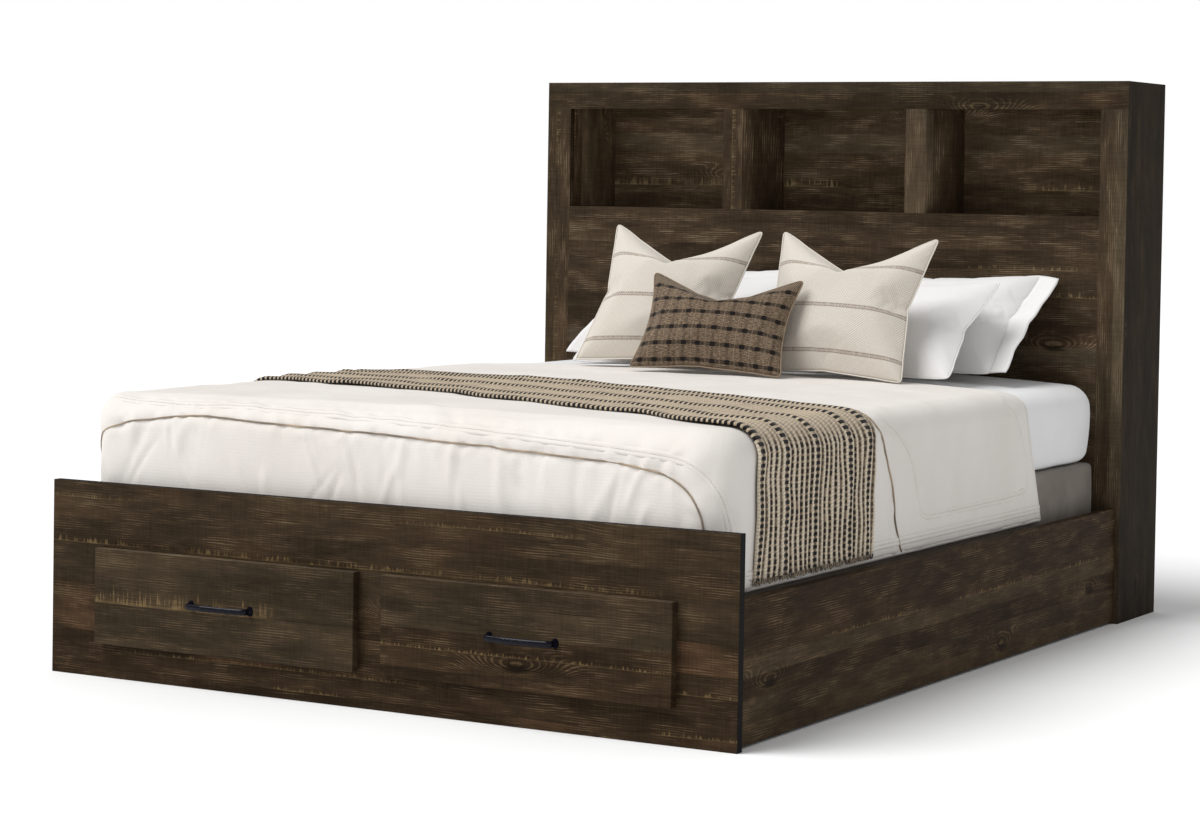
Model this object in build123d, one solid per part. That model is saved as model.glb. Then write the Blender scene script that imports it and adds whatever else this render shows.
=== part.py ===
from build123d import *
import math
import os

os.makedirs("parts", exist_ok=True)

# Storage bed with a bookcase headboard and two drawers in the footboard.
# Millimetres. X runs across the bed, +Y towards the headboard, +Z up from the floor.

# Whole bed
overall_width = 1650.0
inside_length = 2060.0
edge_ease = 0.8
cut_overrun = 5.0
soft_gap = 0.35

# Headboard
headboard_height = 1340.0
headboard_depth = 270.0
side_thick = 22.0
stile_width = 70.0
stile_thick = 22.0
top_rail_height = 70.0
top_board_thick = 22.0
shelf_thick = 22.0
cubby_height = 265.0
cubby_count = 3
divider_width = 57.0
divider_wall = 12.0
end_wall_thick = 16.0
back_thick = 6.0
back_inset = 10.0
back_floor_gap = 60.0
stretcher_thick = 22.0
stretcher_height = 120.0
stretcher_floor_gap = 60.0
stretcher_lap = 30.0

# Footboard and side rails
footboard_height = 415.0
footboard_thick = 22.0
rail_thick = 22.0
rail_inset = 12.0
rail_floor_gap = 6.0
rail_top = 285.0
ledge_thick = 22.0
ledge_height = 40.0
ledge_end_gap = 2.0

# Slats, centre beam and legs
slat_top = 235.0
slat_thick = 20.0
slat_width = 70.0
slat_count = 13
slat_end_gap = 3.0
slat_first_gap = 12.0
beam_width = 40.0
beam_height = 60.0
leg_size = 38.0
leg_count = 3
glide_radius = 16.0
glide_thick = 6.0
glide_stem_radius = 4.0
glide_stem_length = 20.0
stem_play = 0.05
hanger_metal = 2.0
hanger_depth = 30.0
hanger_height = 40.0
hanger_side_gap = 2.0

# Rail brackets and their bolts
bracket_metal = 2.5
bracket_floor_gap = 50.0
bracket_ledge_gap = 25.0
bracket_rail_leg = 60.0
bracket_end_leg = 40.0
bolt_radius = 3.0
bolt_head_radius = 6.5
bolt_head_thick = 3.6
bolt_bite = 15.0
bolt_edge = 20.0
bolt_clear = 0.3
bolt_pilot_clear = 0.05

# Drawer fronts and the bay behind the footboard
front_height = 203.0
front_thick = 20.0
front_bottom = 75.0
front_gap = 1.0
front_middle_gap = 66.0
front_side_margin = 131.0
front_lap = 20.0
bay_depth = 480.0
bay_wall_thick = 18.0
notch_clear = 1.0

# Drawer boxes
box_rear_gap = 53.0
box_top_gap = 12.0
box_lift = 8.0
box_side_thick = 12.0
box_bottom_thick = 4.0
groove_depth = 5.0
groove_height = 10.0

# Roller slides
runner_metal = 1.2
runner_setback = 4.0
runner_lift = 2.0
runner_side_gap = 1.1
runner_head_gap = 1.8
flange_gap = 1.3
roller_radius = 10.0
roller_width = 6.5
roller_play = 0.3
roller_side_gap = 0.5
roller_end_gap = 3.0
stud_radius = 2.5
stud_play = 0.05
stud_head_radius = 4.5
stud_head_thick = 1.0

# Handles
handle_span = 150.0
handle_reach = 30.0
handle_shoulder_drop = 6.0
handle_crown_half = 32.0
handle_bar_tall = 13.0
handle_bar_deep = 8.0
handle_bend = 11.0
handle_foot_tall = 21.0
handle_foot_wide = 17.0
handle_foot_long = 9.0
screw_radius = 2.0
screw_bite = 8.0
screw_head_radius = 4.2
screw_head_thick = 2.6
screw_clear = 0.3
screw_thread_clear = 0.05
screw_tip_gap = 0.5

# Foundation and mattress
mattress_side_gap = 29.0
mattress_foot_gap = 25.0
mattress_head_gap = 3.0
mattress_thick = 192.0
mattress_crown_head = 20.0
mattress_crown_foot = 8.0
mattress_edge_radius = 48.0
mattress_corner_radius = 75.0
mattress_under_radius = 18.0
foundation_height = 162.0
foundation_edge_radius = 14.0
foundation_crown = 1.0

# Comforter
comforter_thick = 11.0
comforter_length_share = 0.795
comforter_hem_lift = 6.0
comforter_foot_lift = 39.0
comforter_pillow_gap = 13.0
fold_radius = 15.0
fold_top_radius = 3.0
fold_depth_share = 0.45
foot_fold_shares = (-0.93, -0.71, -0.46, -0.15, 0.12, 0.41, 0.68, 0.9)
left_fold_shares = (0.12, 0.22, 0.56, 0.69)
right_fold_shares = (0.4, 0.52, 0.66)

# Throw
throw_thick = 6.0
throw_right_front_share = 0.055
throw_right_rear_share = 0.325
throw_left_front_share = 0.29
throw_left_rear_share = 0.49
throw_right_lift = 12.0
throw_left_lift = 179.0

# Pillows and cushions. A pair shares one height and thickness, an offset to the
# right of the middle, a gap between the two and a gap to the edge of the mattress
pillow_lean = 55.0
back_pillow_height = 425.0
back_pillow_thick = 124.0
back_pillow_offset = 50.0
back_pillow_gap = 40.0
back_pillow_edge_gap = 82.0
front_pillow_height = 410.0
front_pillow_thick = 108.0
front_pillow_offset = 82.0
front_pillow_gap = 6.0
front_pillow_edge_gap = 157.0
cushion_lean = 29.0
cushion_roll = -1.5
linen_height = 388.0
linen_thick = 122.0
linen_offset = 70.0
linen_gap = 52.0
linen_edge_gap = 248.0
linen_dent = 56.0
lumbar_width = 398.0
lumbar_height = 262.0
lumbar_thick = 96.0
lumbar_offset = 50.0
lumbar_yaw = 4.0
lumbar_dent = 30.0
pillow_drawn_in = 12.0
cushion_drawn_in = 22.0
pillow_bottom_drawn_in = 5.0
pillow_start_gap = 120.0
pillow_back_off = 16.0
pillow_rest_gap = 1.2
settle_gap = 0.3
settle_rounds = 14

# Steps that give the soft forms their curves
round_steps = 4
depth_shares = (0.0, 0.36, 0.7, 0.92, 1.0)
outline_shares = (1.0, 0.92, 0.74, 0.5, 0.24)
draw_shares = (1.0, 0.45, -0.1, -0.35, -0.3)

# Heights and lines that follow from the sizes above
half_width = overall_width / 2
overall_length = (handle_reach + front_thick + front_gap + footboard_thick
                  + inside_length + headboard_depth)
foot_front = -overall_length / 2 + handle_reach + front_thick + front_gap
foot_back = foot_front + footboard_thick
head_front = foot_back + inside_length
head_back = head_front + headboard_depth

cavity_front = head_front + stile_thick
cavity_back = head_back - back_inset - back_thick
inner_half = half_width - side_thick
opening_half = half_width - stile_width
top_under = headboard_height - top_board_thick
shelf_top = headboard_height - top_rail_height - cubby_height
divider_count = cubby_count - 1
cubby_width = (2 * opening_half - divider_count * divider_width) / cubby_count
head_panel_bottom = stretcher_floor_gap + stretcher_height - stretcher_lap

rail_out = half_width - rail_inset
rail_in = rail_out - rail_thick
slat_under = slat_top - slat_thick
beam_under = slat_under - beam_height

front_inner_edge = front_middle_gap / 2
front_outer_edge = half_width - front_side_margin
front_width = front_outer_edge - front_inner_edge
drawer_centre = (front_inner_edge + front_outer_edge) / 2
opening_in = front_inner_edge + front_lap
opening_out = front_outer_edge - front_lap
opening_bottom = front_bottom + front_lap
bay_back = foot_back + bay_depth
front_back = foot_front - front_gap

stud_reach = 2 * roller_side_gap + roller_width + stud_head_thick
runner_gap = 2 * runner_metal + stud_reach + runner_head_gap
runner_flange = runner_gap - 2 * runner_metal - runner_side_gap
box_half = (opening_out - opening_in) / 2 - runner_gap
box_bottom = opening_bottom + box_lift
box_top = slat_under - box_top_gap
box_rear = bay_back - box_rear_gap

channel_floor = box_bottom + runner_lift + runner_metal
channel_inside = 2 * roller_radius + 2 * roller_play
roller_lift = runner_metal + flange_gap
rear_roller_z = channel_floor + channel_inside / 2
front_roller_z = rear_roller_z + roller_lift
slide_flange_z = front_roller_z + roller_radius + roller_play
channel_start = foot_front + runner_setback
front_roller_y = channel_start + roller_end_gap + roller_radius
roller_window = 2 * (roller_radius + roller_end_gap)
rear_roller_y = box_rear - roller_end_gap - roller_radius

mattress_half = rail_in - mattress_side_gap
mattress_head = head_front - mattress_head_gap
mattress_foot = foot_back + mattress_foot_gap
mattress_length = mattress_head - mattress_foot
foundation_bottom = slat_top + soft_gap
foundation_top = foundation_bottom + foundation_height
mattress_bottom = foundation_top + foundation_crown + soft_gap
mattress_shoulder = mattress_bottom + mattress_thick
comforter_hem = rail_top + comforter_hem_lift
comforter_foot_hem = comforter_hem + comforter_foot_lift
comforter_head = mattress_foot + comforter_length_share * mattress_length
comforter_out = soft_gap + comforter_thick
throw_in = comforter_out + soft_gap
throw_out = throw_in + throw_thick
throw_right_hem = comforter_hem + throw_right_lift
throw_left_hem = comforter_hem + throw_left_lift

parts = {}


def block(x0, x1, y0, y1, z0, z1):
    """A plain box between two corners."""
    return Pos(x0, y0, z0) * Box(x1 - x0, y1 - y0, z1 - z0, align=(Align.MIN, Align.MIN, Align.MIN))


def board(x0, x1, y0, y1, z0, z1):
    """A board with its sharp edges eased."""
    thinnest = min(x1 - x0, y1 - y0, z1 - z0)
    plain = block(x0, x1, y0, y1, z0, z1)
    return chamfer(plain.edges(), min(edge_ease, thinnest / 4))


def prism(points, z0, z1):
    """An upright prism on an outline given in X and Y."""
    outline = Pos(0, 0, z0) * make_face(Polyline(*points, close=True))
    return extrude(outline, z1 - z0)


def rod_x(x0, x1, y, z, radius):
    """A round bar along X between two faces."""
    return Pos((x0 + x1) / 2, y, z) * Rotation(0, 90, 0) * Cylinder(radius, abs(x1 - x0))


def rod_y(y0, y1, x, z, radius):
    """A round bar along Y between two faces."""
    return Pos(x, (y0 + y1) / 2, z) * Rotation(90, 0, 0) * Cylinder(radius, abs(y1 - y0))


def rod_z(z0, z1, x, y, radius):
    """A round bar along Z between two faces."""
    return Pos(x, y, (z0 + z1) / 2) * Cylinder(radius, abs(z1 - z0))


def group(pieces):
    """Several separate solids of one node."""
    return Compound(children=list(pieces))


def flipped(shape):
    """The same piece on the other side of the bed."""
    return mirror(shape, about=Plane.YZ)


# Bookcase headboard

def headboard_side():
    """Right side panel, mitred to the stile and the top rail down its front edge."""
    corner = (half_width, head_front)
    inside = (inner_half, cavity_front)
    return prism([corner, (half_width, head_back), (inner_half, head_back), inside],
                 0, headboard_height)


def headboard_stile():
    """Right front stile, from the floor to the top rail."""
    corner = (half_width, head_front)
    inside = (inner_half, cavity_front)
    return prism([corner, inside, (opening_half, cavity_front), (opening_half, head_front)],
                 0, headboard_height - top_rail_height)


def headboard_top_rail():
    """Rail across the whole front, over the stiles."""
    return prism([(-half_width, head_front), (half_width, head_front),
                  (inner_half, cavity_front), (-inner_half, cavity_front)],
                 headboard_height - top_rail_height, headboard_height)


def cubby_divider(side):
    """Hollow post between two cubbies: a front face and two walls that run back."""
    centre = side * (cubby_width + divider_width) / 2
    x0 = centre - divider_width / 2
    x1 = centre + divider_width / 2
    rail_under = headboard_height - top_rail_height
    post = block(x0, x1, head_front, cavity_front, shelf_top, rail_under)
    for near, far in ((x0, x0 + divider_wall), (x1 - divider_wall, x1)):
        post += block(near, far, cavity_front, cavity_back, shelf_top, top_under)
    return post


parts["headboard_side_right"] = headboard_side()
parts["headboard_side_left"] = flipped(headboard_side())
parts["headboard_stile_right"] = headboard_stile()
parts["headboard_stile_left"] = flipped(headboard_stile())
parts["headboard_top_rail"] = headboard_top_rail()
parts["headboard_top_board"] = block(-inner_half, inner_half, cavity_front, head_back,
                                     top_under, headboard_height)
parts["headboard_shelf"] = board(-inner_half, inner_half, cavity_front, cavity_back,
                                 shelf_top - shelf_thick, shelf_top)
parts["cubby_end_wall_right"] = board(opening_half, opening_half + end_wall_thick,
                                      cavity_front, cavity_back, shelf_top, top_under)
parts["cubby_end_wall_left"] = flipped(parts["cubby_end_wall_right"])
parts["cubby_divider_left"] = cubby_divider(-1)
parts["cubby_divider_right"] = cubby_divider(1)
parts["headboard_back_panel"] = block(-inner_half, inner_half, cavity_back,
                                      cavity_back + back_thick, back_floor_gap, top_under)
parts["headboard_stretcher"] = board(-inner_half, inner_half, cavity_front,
                                     cavity_front + stretcher_thick, stretcher_floor_gap,
                                     stretcher_floor_gap + stretcher_height)


# Brackets and bolts that join the side rails to both ends

bracket_top = slat_under - ledge_height - bracket_ledge_gap
bracket_low = bracket_floor_gap + bolt_edge
bracket_high = bracket_top - bolt_edge
end_bolt_x = (rail_in + opening_half) / 2
rail_bolt_reach = bracket_rail_leg - bolt_edge
bolt_heights = (bracket_low, bracket_high)
bolt_hole = bolt_radius + bolt_pilot_clear


def end_faces():
    """Both ends of the rails: the face that the bracket sits on, and its direction inwards."""
    return ((foot_back, 1), (head_front, -1))


def rail_bracket(face, inward):
    """Steel angle inside the right rail, one leg on the rail and one on the end board."""
    y0, y1 = sorted((face, face + inward * bracket_rail_leg))
    leg = block(rail_in - bracket_metal, rail_in, y0, y1, bracket_floor_gap, bracket_top)
    y2, y3 = sorted((face, face + inward * bracket_metal))
    leg += block(rail_in - bracket_end_leg, rail_in, y2, y3, bracket_floor_gap, bracket_top)
    for z in bolt_heights:
        leg -= rod_y(face - inward * bracket_metal, face + 2 * inward * bracket_metal,
                     end_bolt_x, z, bolt_radius + bolt_clear)
        leg -= rod_x(rail_in - 2 * bracket_metal, rail_in + bracket_metal,
                     face + inward * rail_bolt_reach, z, bolt_radius + bolt_clear)
    return leg


def bolt_holes(face, inward, to_rail):
    """Pilot holes in the rail, or in the end board, for one bracket."""
    holes = []
    for z in bolt_heights:
        if to_rail:
            holes.append(rod_x(rail_in - cut_overrun, rail_in + bolt_bite,
                               face + inward * rail_bolt_reach, z, bolt_hole))
        else:
            holes.append(rod_y(face + inward * cut_overrun, face - inward * bolt_bite,
                               end_bolt_x, z, bolt_hole))
    return holes


def bracket_bolts(face, inward):
    """Two bolts into the end board and two into the rail."""
    bolts = []
    for z in bolt_heights:
        seat = face + inward * bracket_metal
        bolt = rod_y(seat, face - inward * bolt_bite, end_bolt_x, z, bolt_radius)
        bolt += rod_y(seat, seat + inward * bolt_head_thick, end_bolt_x, z, bolt_head_radius)
        bolts.append(bolt)
        seat = rail_in - bracket_metal
        y = face + inward * rail_bolt_reach
        bolt = rod_x(seat, rail_in + bolt_bite, y, z, bolt_radius)
        bolt += rod_x(seat - bolt_head_thick, seat, y, z, bolt_head_radius)
        bolts.append(bolt)
    return bolts


parts["rail_brackets"] = group(
    [piece for end in end_faces() for piece in (rail_bracket(*end), flipped(rail_bracket(*end)))])
parts["rail_bolts"] = group(
    [piece for end in end_faces() for bolt in bracket_bolts(*end) for piece in (bolt, flipped(bolt))])

# The front panel and stiles take the head end bolts
for name in ("headboard_stile_right", "headboard_stile_left"):
    for hole in bolt_holes(head_front, -1, False):
        parts[name] -= hole if name.endswith("right") else flipped(hole)
parts["headboard_front_panel"] = block(-opening_half, opening_half, head_front, cavity_front,
                                       head_panel_bottom, shelf_top)


# Footboard, side rails and slat ledges

def footboard_panel():
    """Front panel with an opening for each drawer."""
    panel = board(-half_width, half_width, foot_front, foot_back, 0, footboard_height)
    for side in (-1, 1):
        x0, x1 = sorted((side * opening_in, side * opening_out))
        panel -= block(x0, x1, foot_front - cut_overrun, foot_back + cut_overrun,
                       opening_bottom, slat_under)
    for hole in bolt_holes(foot_back, 1, False):
        panel -= hole
        panel -= flipped(hole)
    return panel


def side_rail():
    """Right side rail between the footboard and the headboard."""
    rail = board(rail_in, rail_out, foot_back, head_front, rail_floor_gap, rail_top)
    for end in end_faces():
        for hole in bolt_holes(*end, True):
            rail -= hole
    return rail


parts["footboard_panel"] = footboard_panel()
parts["side_rail_right"] = side_rail()
parts["side_rail_left"] = flipped(side_rail())
parts["slat_ledge_right"] = board(rail_in - ledge_thick, rail_in, foot_back + ledge_end_gap,
                                  head_front - ledge_end_gap, slat_under - ledge_height,
                                  slat_under)
parts["slat_ledge_left"] = flipped(parts["slat_ledge_right"])


# Slats, centre beam, its hangers, legs and glides

def slats():
    """Cross slats that lie on the ledges and the centre beam."""
    run = inside_length - 2 * slat_first_gap - slat_width
    pitch = run / (slat_count - 1)
    reach = rail_in - slat_end_gap
    pieces = []
    for i in range(slat_count):
        y0 = foot_back + slat_first_gap + i * pitch
        pieces.append(board(-reach, reach, y0, y0 + slat_width, slat_under, slat_top))
    return pieces


def beam_hanger(face, inward):
    """Pressed steel saddle that carries one end of the centre beam."""
    half = beam_width / 2
    flange_edge = opening_in - bay_wall_thick - hanger_side_gap
    y0, y1 = sorted((face, face + inward * hanger_depth))
    y2, y3 = sorted((face, face + inward * hanger_metal))
    z0 = beam_under - hanger_metal
    z1 = beam_under + hanger_height
    saddle = block(-half - hanger_metal, half + hanger_metal, y0, y1, z0, z1)
    saddle -= block(-half, half, y0 - cut_overrun, y1 + cut_overrun, beam_under, z1 + cut_overrun)
    for side in (-1, 1):
        x0, x1 = sorted((side * half, side * flange_edge))
        saddle += block(x0, x1, y2, y3, z0, z1)
    return saddle


def leg_places():
    """Where the centre legs stand, evenly spaced behind the drawer bay."""
    span = head_front - bay_back
    return [bay_back + span * (i + 1) / (leg_count + 1) for i in range(leg_count)]


def centre_leg(y):
    """Square leg with a hole for its glide."""
    half = leg_size / 2
    leg = board(-half, half, y - half, y + half, glide_thick, beam_under)
    return leg - rod_z(glide_thick - cut_overrun, glide_thick + glide_stem_length + stem_play,
                       0, y, glide_stem_radius + stem_play)


def leg_glide(y):
    """Plastic glide with a stem that plugs into the leg."""
    foot = rod_z(0, glide_thick, 0, y, glide_radius)
    return foot + rod_z(glide_thick, glide_thick + glide_stem_length, 0, y, glide_stem_radius)


parts["slats"] = group(slats())
parts["centre_beam"] = board(-beam_width / 2, beam_width / 2, foot_back, head_front,
                             beam_under, slat_under)
parts["beam_hangers"] = group([beam_hanger(*end) for end in end_faces()])
parts["centre_legs"] = group([centre_leg(y) for y in leg_places()])
parts["leg_glides"] = group([leg_glide(y) for y in leg_places()])


# Drawer bay behind the footboard

def bay_wall(x0, x1):
    """Upright wall beside a drawer, standing on the floor."""
    return board(x0, x1, foot_back, bay_back, 0, slat_under)


def bay_back_rail():
    """Cross wall behind the drawers, notched for the centre beam."""
    reach = opening_out + bay_wall_thick
    wall = board(-reach, reach, bay_back, bay_back + bay_wall_thick, 0, slat_under)
    half = beam_width / 2 + notch_clear
    return wall - block(-half, half, bay_back - cut_overrun,
                        bay_back + bay_wall_thick + cut_overrun,
                        beam_under, slat_under + cut_overrun)


parts["bay_side_right"] = bay_wall(opening_out, opening_out + bay_wall_thick)
parts["bay_side_left"] = flipped(parts["bay_side_right"])
parts["bay_partitions"] = group([bay_wall(opening_in - bay_wall_thick, opening_in),
                                 bay_wall(-opening_in, bay_wall_thick - opening_in)])
parts["bay_back_rail"] = bay_back_rail()


# Roller slides: x0 is the bay wall's face and inward points from it to the drawer

def cabinet_channel(x0, inward):
    """C channel on the bay wall, with a stud for its front roller."""
    web = x0 + inward * runner_metal
    edge = web + inward * runner_flange
    y0 = channel_start
    y1 = box_rear
    xs = sorted((x0, web))
    fs = sorted((web, edge))
    roof = channel_floor + channel_inside
    channel = block(*xs, y0, y1, channel_floor - runner_metal, roof + runner_metal)
    channel += block(*fs, y0, y1, channel_floor - runner_metal, channel_floor)
    channel += block(*fs, y0 + roller_window, y1, roof, roof + runner_metal)
    return channel + roller_stud(web, inward, front_roller_y, front_roller_z)


def roller_stud(face, out, y, z):
    """Riveted stud with a head that keeps a roller on."""
    roller_out = face + out * (2 * roller_side_gap + roller_width)
    stud = rod_x(face, roller_out, y, z, stud_radius)
    return stud + rod_x(roller_out, roller_out + out * stud_head_thick, y, z, stud_head_radius)


def roller(face, out, y, z):
    """Nylon roller that turns on a stud."""
    near = face + out * roller_side_gap
    far = near + out * roller_width
    tyre = rod_x(near, far, y, z, roller_radius)
    return tyre - rod_x(near - out * cut_overrun, far + out * cut_overrun, y, z,
                        stud_radius + stud_play)


def drawer_slide(x0, out):
    """Slide member on the drawer's side, with a stud for its rear roller."""
    web = x0 + out * runner_metal
    edge = web + out * runner_flange
    y0 = front_back + runner_setback
    xs = sorted((x0, web))
    fs = sorted((web, edge))
    top = slide_flange_z + runner_metal
    slide = block(*xs, y0, box_rear, channel_floor, top)
    slide += block(*fs, y0, box_rear, slide_flange_z, top)
    return slide + roller_stud(web, out, rear_roller_y, rear_roller_z)


def slide_faces(centre):
    """For both sides of one drawer: bay wall face, drawer side face and direction outwards."""
    half = (opening_out - opening_in) / 2
    return [(centre + out * half, centre + out * box_half, out) for out in (-1, 1)]


# Drawers, each made about its own centre line

def handle_path():
    """Bow of the pull: out from one foot, along the bar and back to the other."""
    half = handle_span / 2
    ends = handle_reach - handle_bar_deep / 2
    shoulder = ends - handle_shoulder_drop
    return FilletPolyline((-half, 0, 0), (-half, -shoulder, 0), (-handle_crown_half, -ends, 0),
                          (handle_crown_half, -ends, 0), (half, -shoulder, 0), (half, 0, 0),
                          radius=handle_bend)


def handle(centre):
    """Bow pull with flared feet, bored for its screws."""
    face = front_back - front_thick
    height = front_bottom + front_height / 2
    section = Plane(origin=(-handle_span / 2, 0, 0), x_dir=(1, 0, 0), z_dir=(0, -1, 0))
    bow = sweep(section * Ellipse(handle_bar_deep / 2, handle_bar_tall / 2), handle_path())
    for side in (-1, 1):
        x = side * handle_span / 2
        wide = Plane(origin=(x, 0, 0), x_dir=(1, 0, 0), z_dir=(0, -1, 0))
        narrow = Plane(origin=(x, -handle_foot_long, 0), x_dir=(1, 0, 0), z_dir=(0, -1, 0))
        flare = loft([wide * Ellipse(handle_foot_wide / 2, handle_foot_tall / 2),
                      narrow * Ellipse(handle_bar_deep / 2, handle_bar_tall / 2)])
        bow += flare
        bow -= rod_y(-screw_bite - screw_tip_gap, cut_overrun, x, 0,
                     screw_radius + screw_thread_clear)
    return Pos(centre, face, height) * bow


def handle_screws(centre):
    """Two screws through the drawer front from inside."""
    height = front_bottom + front_height / 2
    pieces = []
    for side in (-1, 1):
        x = centre + side * handle_span / 2
        screw = rod_y(front_back - front_thick - screw_bite, front_back, x, height, screw_radius)
        screw += rod_y(front_back, front_back + screw_head_thick, x, height, screw_head_radius)
        pieces.append(screw)
    return pieces


def drawer_bottom(centre):
    """Thin panel held in grooves in the sides and the front."""
    reach = box_half - box_side_thick + groove_depth
    z0 = box_bottom + groove_height
    return block(centre - reach, centre + reach, front_back - groove_depth, box_rear,
                 z0, z0 + box_bottom_thick)


def drawer_front(centre):
    """Overlay front, grooved for the bottom and drilled for the handle."""
    front = board(centre - front_width / 2, centre + front_width / 2,
                  front_back - front_thick, front_back,
                  front_bottom, front_bottom + front_height)
    front -= drawer_bottom(centre)
    for side in (-1, 1):
        front -= rod_y(front_back - front_thick - cut_overrun, front_back + cut_overrun,
                       centre + side * handle_span / 2, front_bottom + front_height / 2,
                       screw_radius + screw_clear)
    return front


def drawer_sides(centre):
    """Both sides of the box, grooved for the bottom."""
    pieces = []
    for out in (-1, 1):
        x0, x1 = sorted((centre + out * box_half, centre + out * (box_half - box_side_thick)))
        side = block(x0, x1, front_back, box_rear, box_bottom, box_top)
        pieces.append(side - drawer_bottom(centre))
    return pieces


def drawer_back(centre):
    """Back of the box, standing on the bottom."""
    reach = box_half - box_side_thick
    return block(centre - reach, centre + reach, box_rear - box_side_thick, box_rear,
                 box_bottom + groove_height + box_bottom_thick, box_top)


channels = []
for word, sign in (("left", -1), ("right", 1)):
    middle = sign * drawer_centre
    slides = []
    front_rollers = []
    rear_rollers = []
    for wall_face, side_face, outward in slide_faces(middle):
        channels.append(cabinet_channel(wall_face, -outward))
        slides.append(drawer_slide(side_face, outward))
        front_rollers.append(roller(wall_face - outward * runner_metal, -outward,
                                    front_roller_y, front_roller_z))
        rear_rollers.append(roller(side_face + outward * runner_metal, outward,
                                   rear_roller_y, rear_roller_z))
    parts[f"drawer_{word}_front"] = drawer_front(middle)
    parts[f"drawer_{word}_sides"] = group(drawer_sides(middle))
    parts[f"drawer_{word}_back"] = drawer_back(middle)
    parts[f"drawer_{word}_bottom"] = drawer_bottom(middle)
    parts[f"drawer_{word}_handle"] = handle(middle)
    parts[f"drawer_{word}_handle_screws"] = group(handle_screws(middle))
    parts[f"drawer_{word}_slides"] = group(slides)
    parts[f"front_rollers_{word}"] = group(front_rollers)
    parts[f"rear_rollers_{word}"] = group(rear_rollers)
parts["cabinet_channels"] = group(channels)


# Soft goods. A bed form is the mattress shape, grown outwards by grow

def bed_section(y, half, z0, z1, crown, radius):
    """Upright section across the bed with rounded shoulders and a crowned top."""
    slope = radius * (1 - math.sqrt(0.5))
    with BuildSketch(Plane(origin=(0, y, 0), x_dir=(1, 0, 0), z_dir=(0, -1, 0))) as section:
        with BuildLine():
            Line((-half, z0), (half, z0))
            Line((half, z0), (half, z1 - radius))
            ThreePointArc((half, z1 - radius), (half - slope, z1 - slope), (half - radius, z1))
            ThreePointArc((half - radius, z1), (0, z1 + crown), (radius - half, z1))
            ThreePointArc((radius - half, z1), (slope - half, z1 - slope), (-half, z1 - radius))
            Line((-half, z1 - radius), (-half, z0))
        make_face()
    return section.sketch


def bed_form(z0, z1, crowns, edge, corner, under, grow=0.0):
    """Rounded block on the mattress plan; crowns are the rise at the foot and at the head."""
    corner += grow
    foot = mattress_foot - grow
    head = mattress_head
    half = mattress_half + grow
    top = z1 + grow
    radius = edge + grow
    sections = []
    for end, inward in ((foot, 1), (head, -1)):
        run = []
        for i in range(round_steps + 1):
            turn = math.pi / 2 * i / round_steps
            inset = 1 - math.sin(turn)
            y = end + inward * corner * (1 - math.cos(turn))
            share = (y - foot) / (head - foot)
            crown = crowns[0] + (crowns[1] - crowns[0]) * share
            run.append(bed_section(y, half - corner * inset, z0 + under * inset,
                                   top - edge * inset, crown, radius))
        sections += run if inward == 1 else run[::-1]
    return loft(sections, ruled=True)


def mattress_form(grow, z0):
    """The mattress shape carried down to z0, grown outwards."""
    return bed_form(z0, mattress_shoulder, (mattress_crown_foot, mattress_crown_head),
                    mattress_edge_radius, mattress_corner_radius, 0.0, grow)


def fold(x, y, lean_x, lean_y, z0):
    """Soft upright fold in hanging cloth, widening towards the hem."""
    top = mattress_shoulder - mattress_edge_radius
    depth = fold_radius * (1 - fold_depth_share)
    top_depth = fold_top_radius * (1 - fold_depth_share)
    low = Pos(x - lean_x * depth, y - lean_y * depth, z0) * Circle(fold_radius)
    high = Pos(x - lean_x * top_depth, y - lean_y * top_depth, top) * Circle(fold_top_radius)
    return loft([low, high])


def comforter(pillow_line):
    """Quilt over the mattress, hanging at both sides and at the foot, short of the pillows."""
    outer = mattress_form(comforter_out, comforter_hem)
    side = mattress_half + comforter_out
    for share in foot_fold_shares:
        outer += fold(share * (mattress_half - mattress_corner_radius),
                      mattress_foot - comforter_out, 0, -1, comforter_hem)
    for out, shares in ((-1, left_fold_shares), (1, right_fold_shares)):
        for share in shares:
            outer += fold(out * side, mattress_foot + share * mattress_length, out, 0,
                          comforter_hem)
    shell = outer - mattress_form(soft_gap, comforter_hem - cut_overrun)
    reach = side + fold_radius + cut_overrun
    foot = mattress_foot - comforter_out - fold_radius
    edge = pillow_line - comforter_pillow_gap
    top = mattress_shoulder + comforter_out + mattress_crown_head + cut_overrun
    plan = prism([(-reach, foot), (reach, foot), (reach, comforter_head),
                  (mattress_half - mattress_edge_radius, edge),
                  (mattress_edge_radius - mattress_half, edge), (-reach, comforter_head)],
                 comforter_hem - cut_overrun, top)
    shell = shell & plan
    foot_cut = block(-reach, reach, foot - cut_overrun, mattress_foot + mattress_corner_radius / 2,
                     comforter_hem - cut_overrun, comforter_foot_hem)
    return shell - foot_cut


def throw():
    """Knitted throw laid aslant over the comforter, with both ends hanging."""
    layer = mattress_form(throw_out, throw_right_hem)
    layer -= mattress_form(throw_in, throw_right_hem - cut_overrun)
    reach = mattress_half + throw_out + cut_overrun
    flat = mattress_half - mattress_edge_radius

    def along(share):
        return mattress_foot + share * mattress_length

    top = mattress_shoulder + throw_out + mattress_crown_head + cut_overrun
    plan = prism([(-reach, along(throw_left_front_share)), (-flat, along(throw_left_front_share)),
                  (flat, along(throw_right_front_share)), (reach, along(throw_right_front_share)),
                  (reach, along(throw_right_rear_share)), (flat, along(throw_right_rear_share)),
                  (-flat, along(throw_left_rear_share)), (-reach, along(throw_left_rear_share))],
                 throw_right_hem - cut_overrun, top)
    cloth = layer & plan
    return cloth - block(-reach, 0, mattress_foot, mattress_head,
                         throw_right_hem - cut_overrun, throw_left_hem)


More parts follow.
